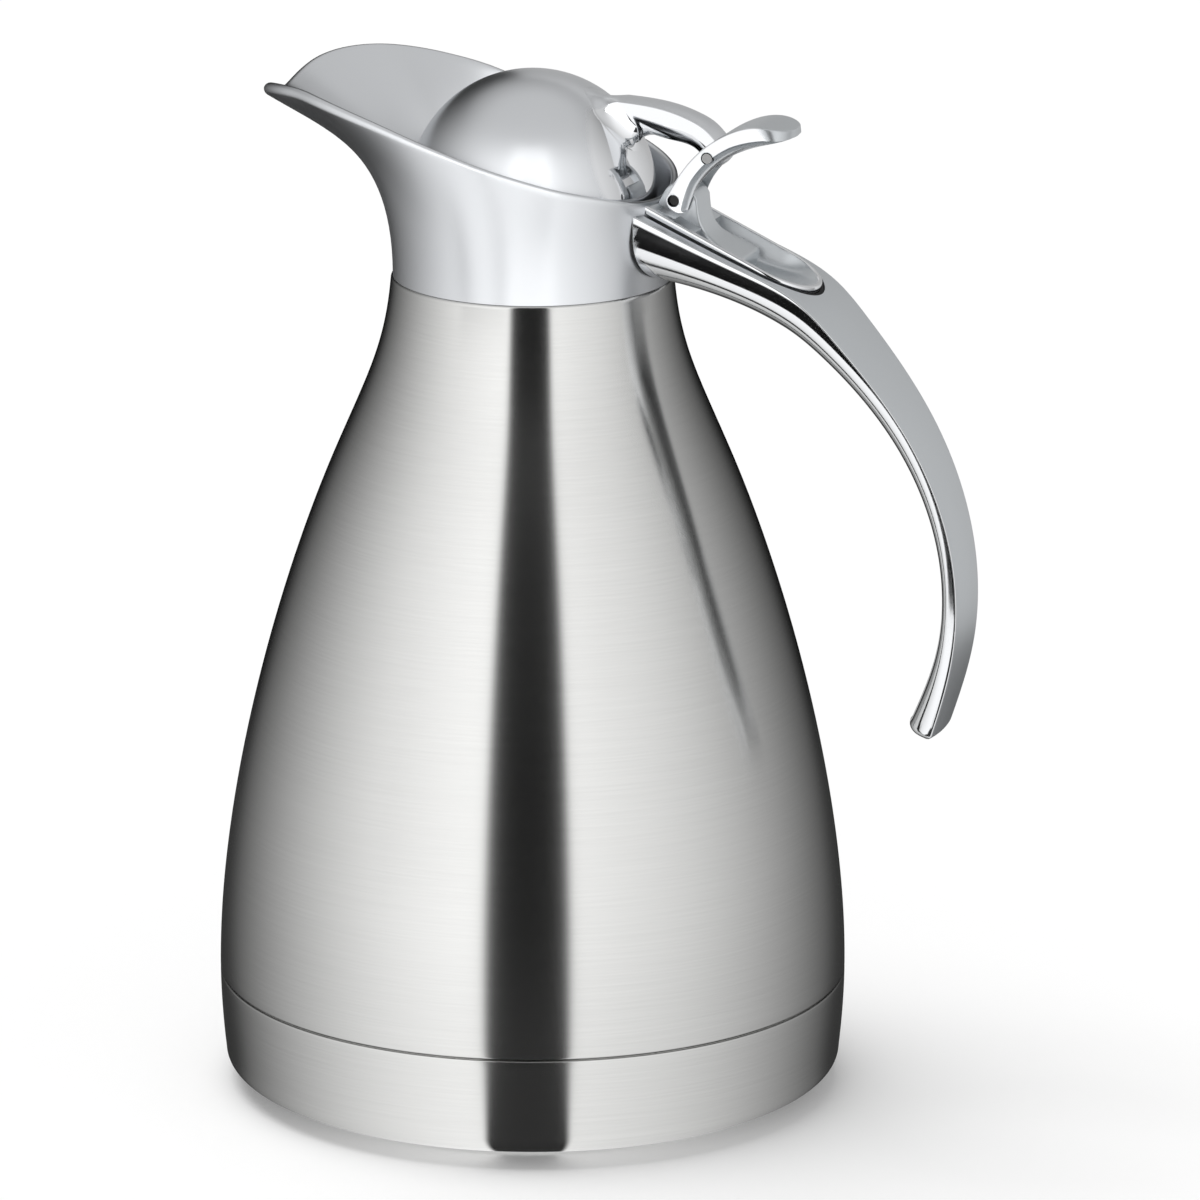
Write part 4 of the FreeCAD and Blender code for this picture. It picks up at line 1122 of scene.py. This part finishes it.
def wall_turn(g, x, y):
    """Angle of a place round the jug, in degrees from the camera's side."""
    a = math.radians(VIEW_TURN)
    ahead = x * math.sin(a) - y * math.cos(a)
    aside = x * math.cos(a) + y * math.sin(a)
    return aside.math("ARCTAN2", aside, ahead) * (180 / math.pi)


def wall_light(turn):
    """Light of the tent's wall: bright in front, a little less to the right and dim behind."""
    front = (1 + (turn * (math.pi / 180)).cos()) * 0.5
    side = WALL_GLOW - turn.step(*RIGHT_FADE) * RIGHT_LOSS
    return front * side * (1 - turn.abs().step(*REAR_FADE) * REAR_LOSS)


def doorway(turn):
    """1 in the dark doorway at the camera."""
    return turn.band(DOOR_LEFT, DOOR_RIGHT)


def stage_glow(name, mesh, light, g, material):
    """Glowing thing that only the metal sees."""
    glow = g.add("ShaderNodeEmission", sockets={"Color": rgba(1, 1, 1), "Strength": light})
    g.add("ShaderNodeOutputMaterial", sockets={"Surface": glow})
    material.cycles.emission_sampling = "NONE"
    mesh.materials.append(material)
    thing = new_piece(name, mesh)
    thing.visible_camera = False
    thing.visible_diffuse = False
    thing.visible_shadow = False


def make_tent():
    """Light tent: wall, bright roof and floor, a dark doorway and a dark sill beside it."""
    material, g = new_finish("tent")
    point, x, y, z = g.place()
    turn = wall_turn(g, x, y)
    height = z / TENT_RADIUS
    level = height.math("ARCSINE", height) * (180 / math.pi)
    roof = level.step(*ROOF)
    light = (wall_light(turn) * (1 - roof) + roof * ROOF_GLOW).max(level.step(*EAVES) * EAVES_GLOW)
    sill = level.band(SILL_LOW, SILL_HIGH) * turn.band(SILL_LEFT, SILL_RIGHT)
    dark = sill.max(doorway(turn) * (1 - level.step(*DOOR_TOP)))
    light = light * (1 - dark) + dark * DARK_GLOW
    table = 1 - level.step(*TABLE_EDGE)
    ball = bmesh.new()
    bmesh.ops.create_icosphere(ball, subdivisions=5, radius=TENT_RADIUS)
    mesh = bpy.data.meshes.new("tent")
    ball.to_mesh(mesh)
    ball.free()
    stage_glow("tent", mesh, light * (1 - table) + table * TABLE_GLOW, g, material)


def make_table():
    """Table top round the foot, with the doorway's dark strip on it."""
    material, g = new_finish("table")
    point, x, y, z = g.place()
    radius = (x * x + y * y).root()
    turn = wall_turn(g, x, y) * (radius * 2 / (radius * 2 - BASE_RADIUS * MM))
    light = (wall_light(turn) * TABLE_SHARE + TABLE_LEAST) * (1 - doorway(turn) * STRIP_DARK)
    mesh = bpy.data.meshes.new("table")
    hoop = ring(TABLE_RADIUS)
    mesh.from_pydata([(x, y, MM) for x, y in hoop], [], [tuple(range(len(hoop)))])
    stage_glow("table", mesh, light, g, material)


def make_panel(name, turn, rise, reach, size, power, lights):
    """Soft panel aimed at the jug, which lights only the pieces named; size is its width and height."""
    data = bpy.data.lights.new(name, "AREA")
    data.shape = "RECTANGLE"
    data.size, data.size_y = size
    data.energy = power
    lamp = bpy.data.objects.new(name, data)
    back = outward(turn, rise)
    lamp.location = VIEW_AIM + back * reach
    lamp.rotation_mode = "QUATERNION"
    lamp.rotation_quaternion = (-back).to_track_quat("-Z", "Y")
    lamp.visible_camera = False
    bpy.context.scene.collection.objects.link(lamp)
    lit = bpy.data.collections.new(name)
    for piece in lights:
        lit.objects.link(bpy.data.objects[piece])
    lamp.light_linking.receiver_collection = lit


def make_sun(turn, rise, strength, softness):
    data = bpy.data.lights.new("sun", "SUN")
    data.energy = strength
    data.angle = math.radians(softness)
    sun = bpy.data.objects.new("sun", data)
    sun.rotation_mode = "QUATERNION"
    sun.rotation_quaternion = (-outward(turn, rise)).to_track_quat("-Z", "Y")
    sun.visible_glossy = False
    bpy.context.scene.collection.objects.link(sun)


make_camera()
make_world()
make_floor()
make_tent()
make_table()
make_sun(turn=-95, rise=76, strength=1.95, softness=45)
make_panel("front_panel", turn=VIEW_TURN - 2, rise=5.5, reach=1.5, size=(0.94, 3.64), power=16.3,
           lights=("collar", "lid_ball", "lid_arm"))
make_panel("right_panel", turn=167, rise=6, reach=1.5, size=(2.18, 2.3), power=8.0,
           lights=("handle_grip", "saddle", "hinge_tower", "lever", "lid_arm", "lid_ball"))
make_panel("rear_panel", turn=211, rise=6, reach=1.5, size=(0.45, 2.3), power=1.65,
           lights=("handle_grip", "saddle", "hinge_tower", "lever", "lid_arm"))
make_panel("low_panel", turn=165, rise=-58, reach=1.2, size=(1.6, 0.9), power=2.0, lights=("handle_grip",))
make_panel("sill_panel", turn=VIEW_TURN - 41, rise=-19.6, reach=2.95, size=(2.12, 0.9), power=7.9,
           lights=("collar", "lid_ball", "lid_arm", "lever", "hinge_tower"))
bpy.context.scene.view_settings.view_transform = "Standard"
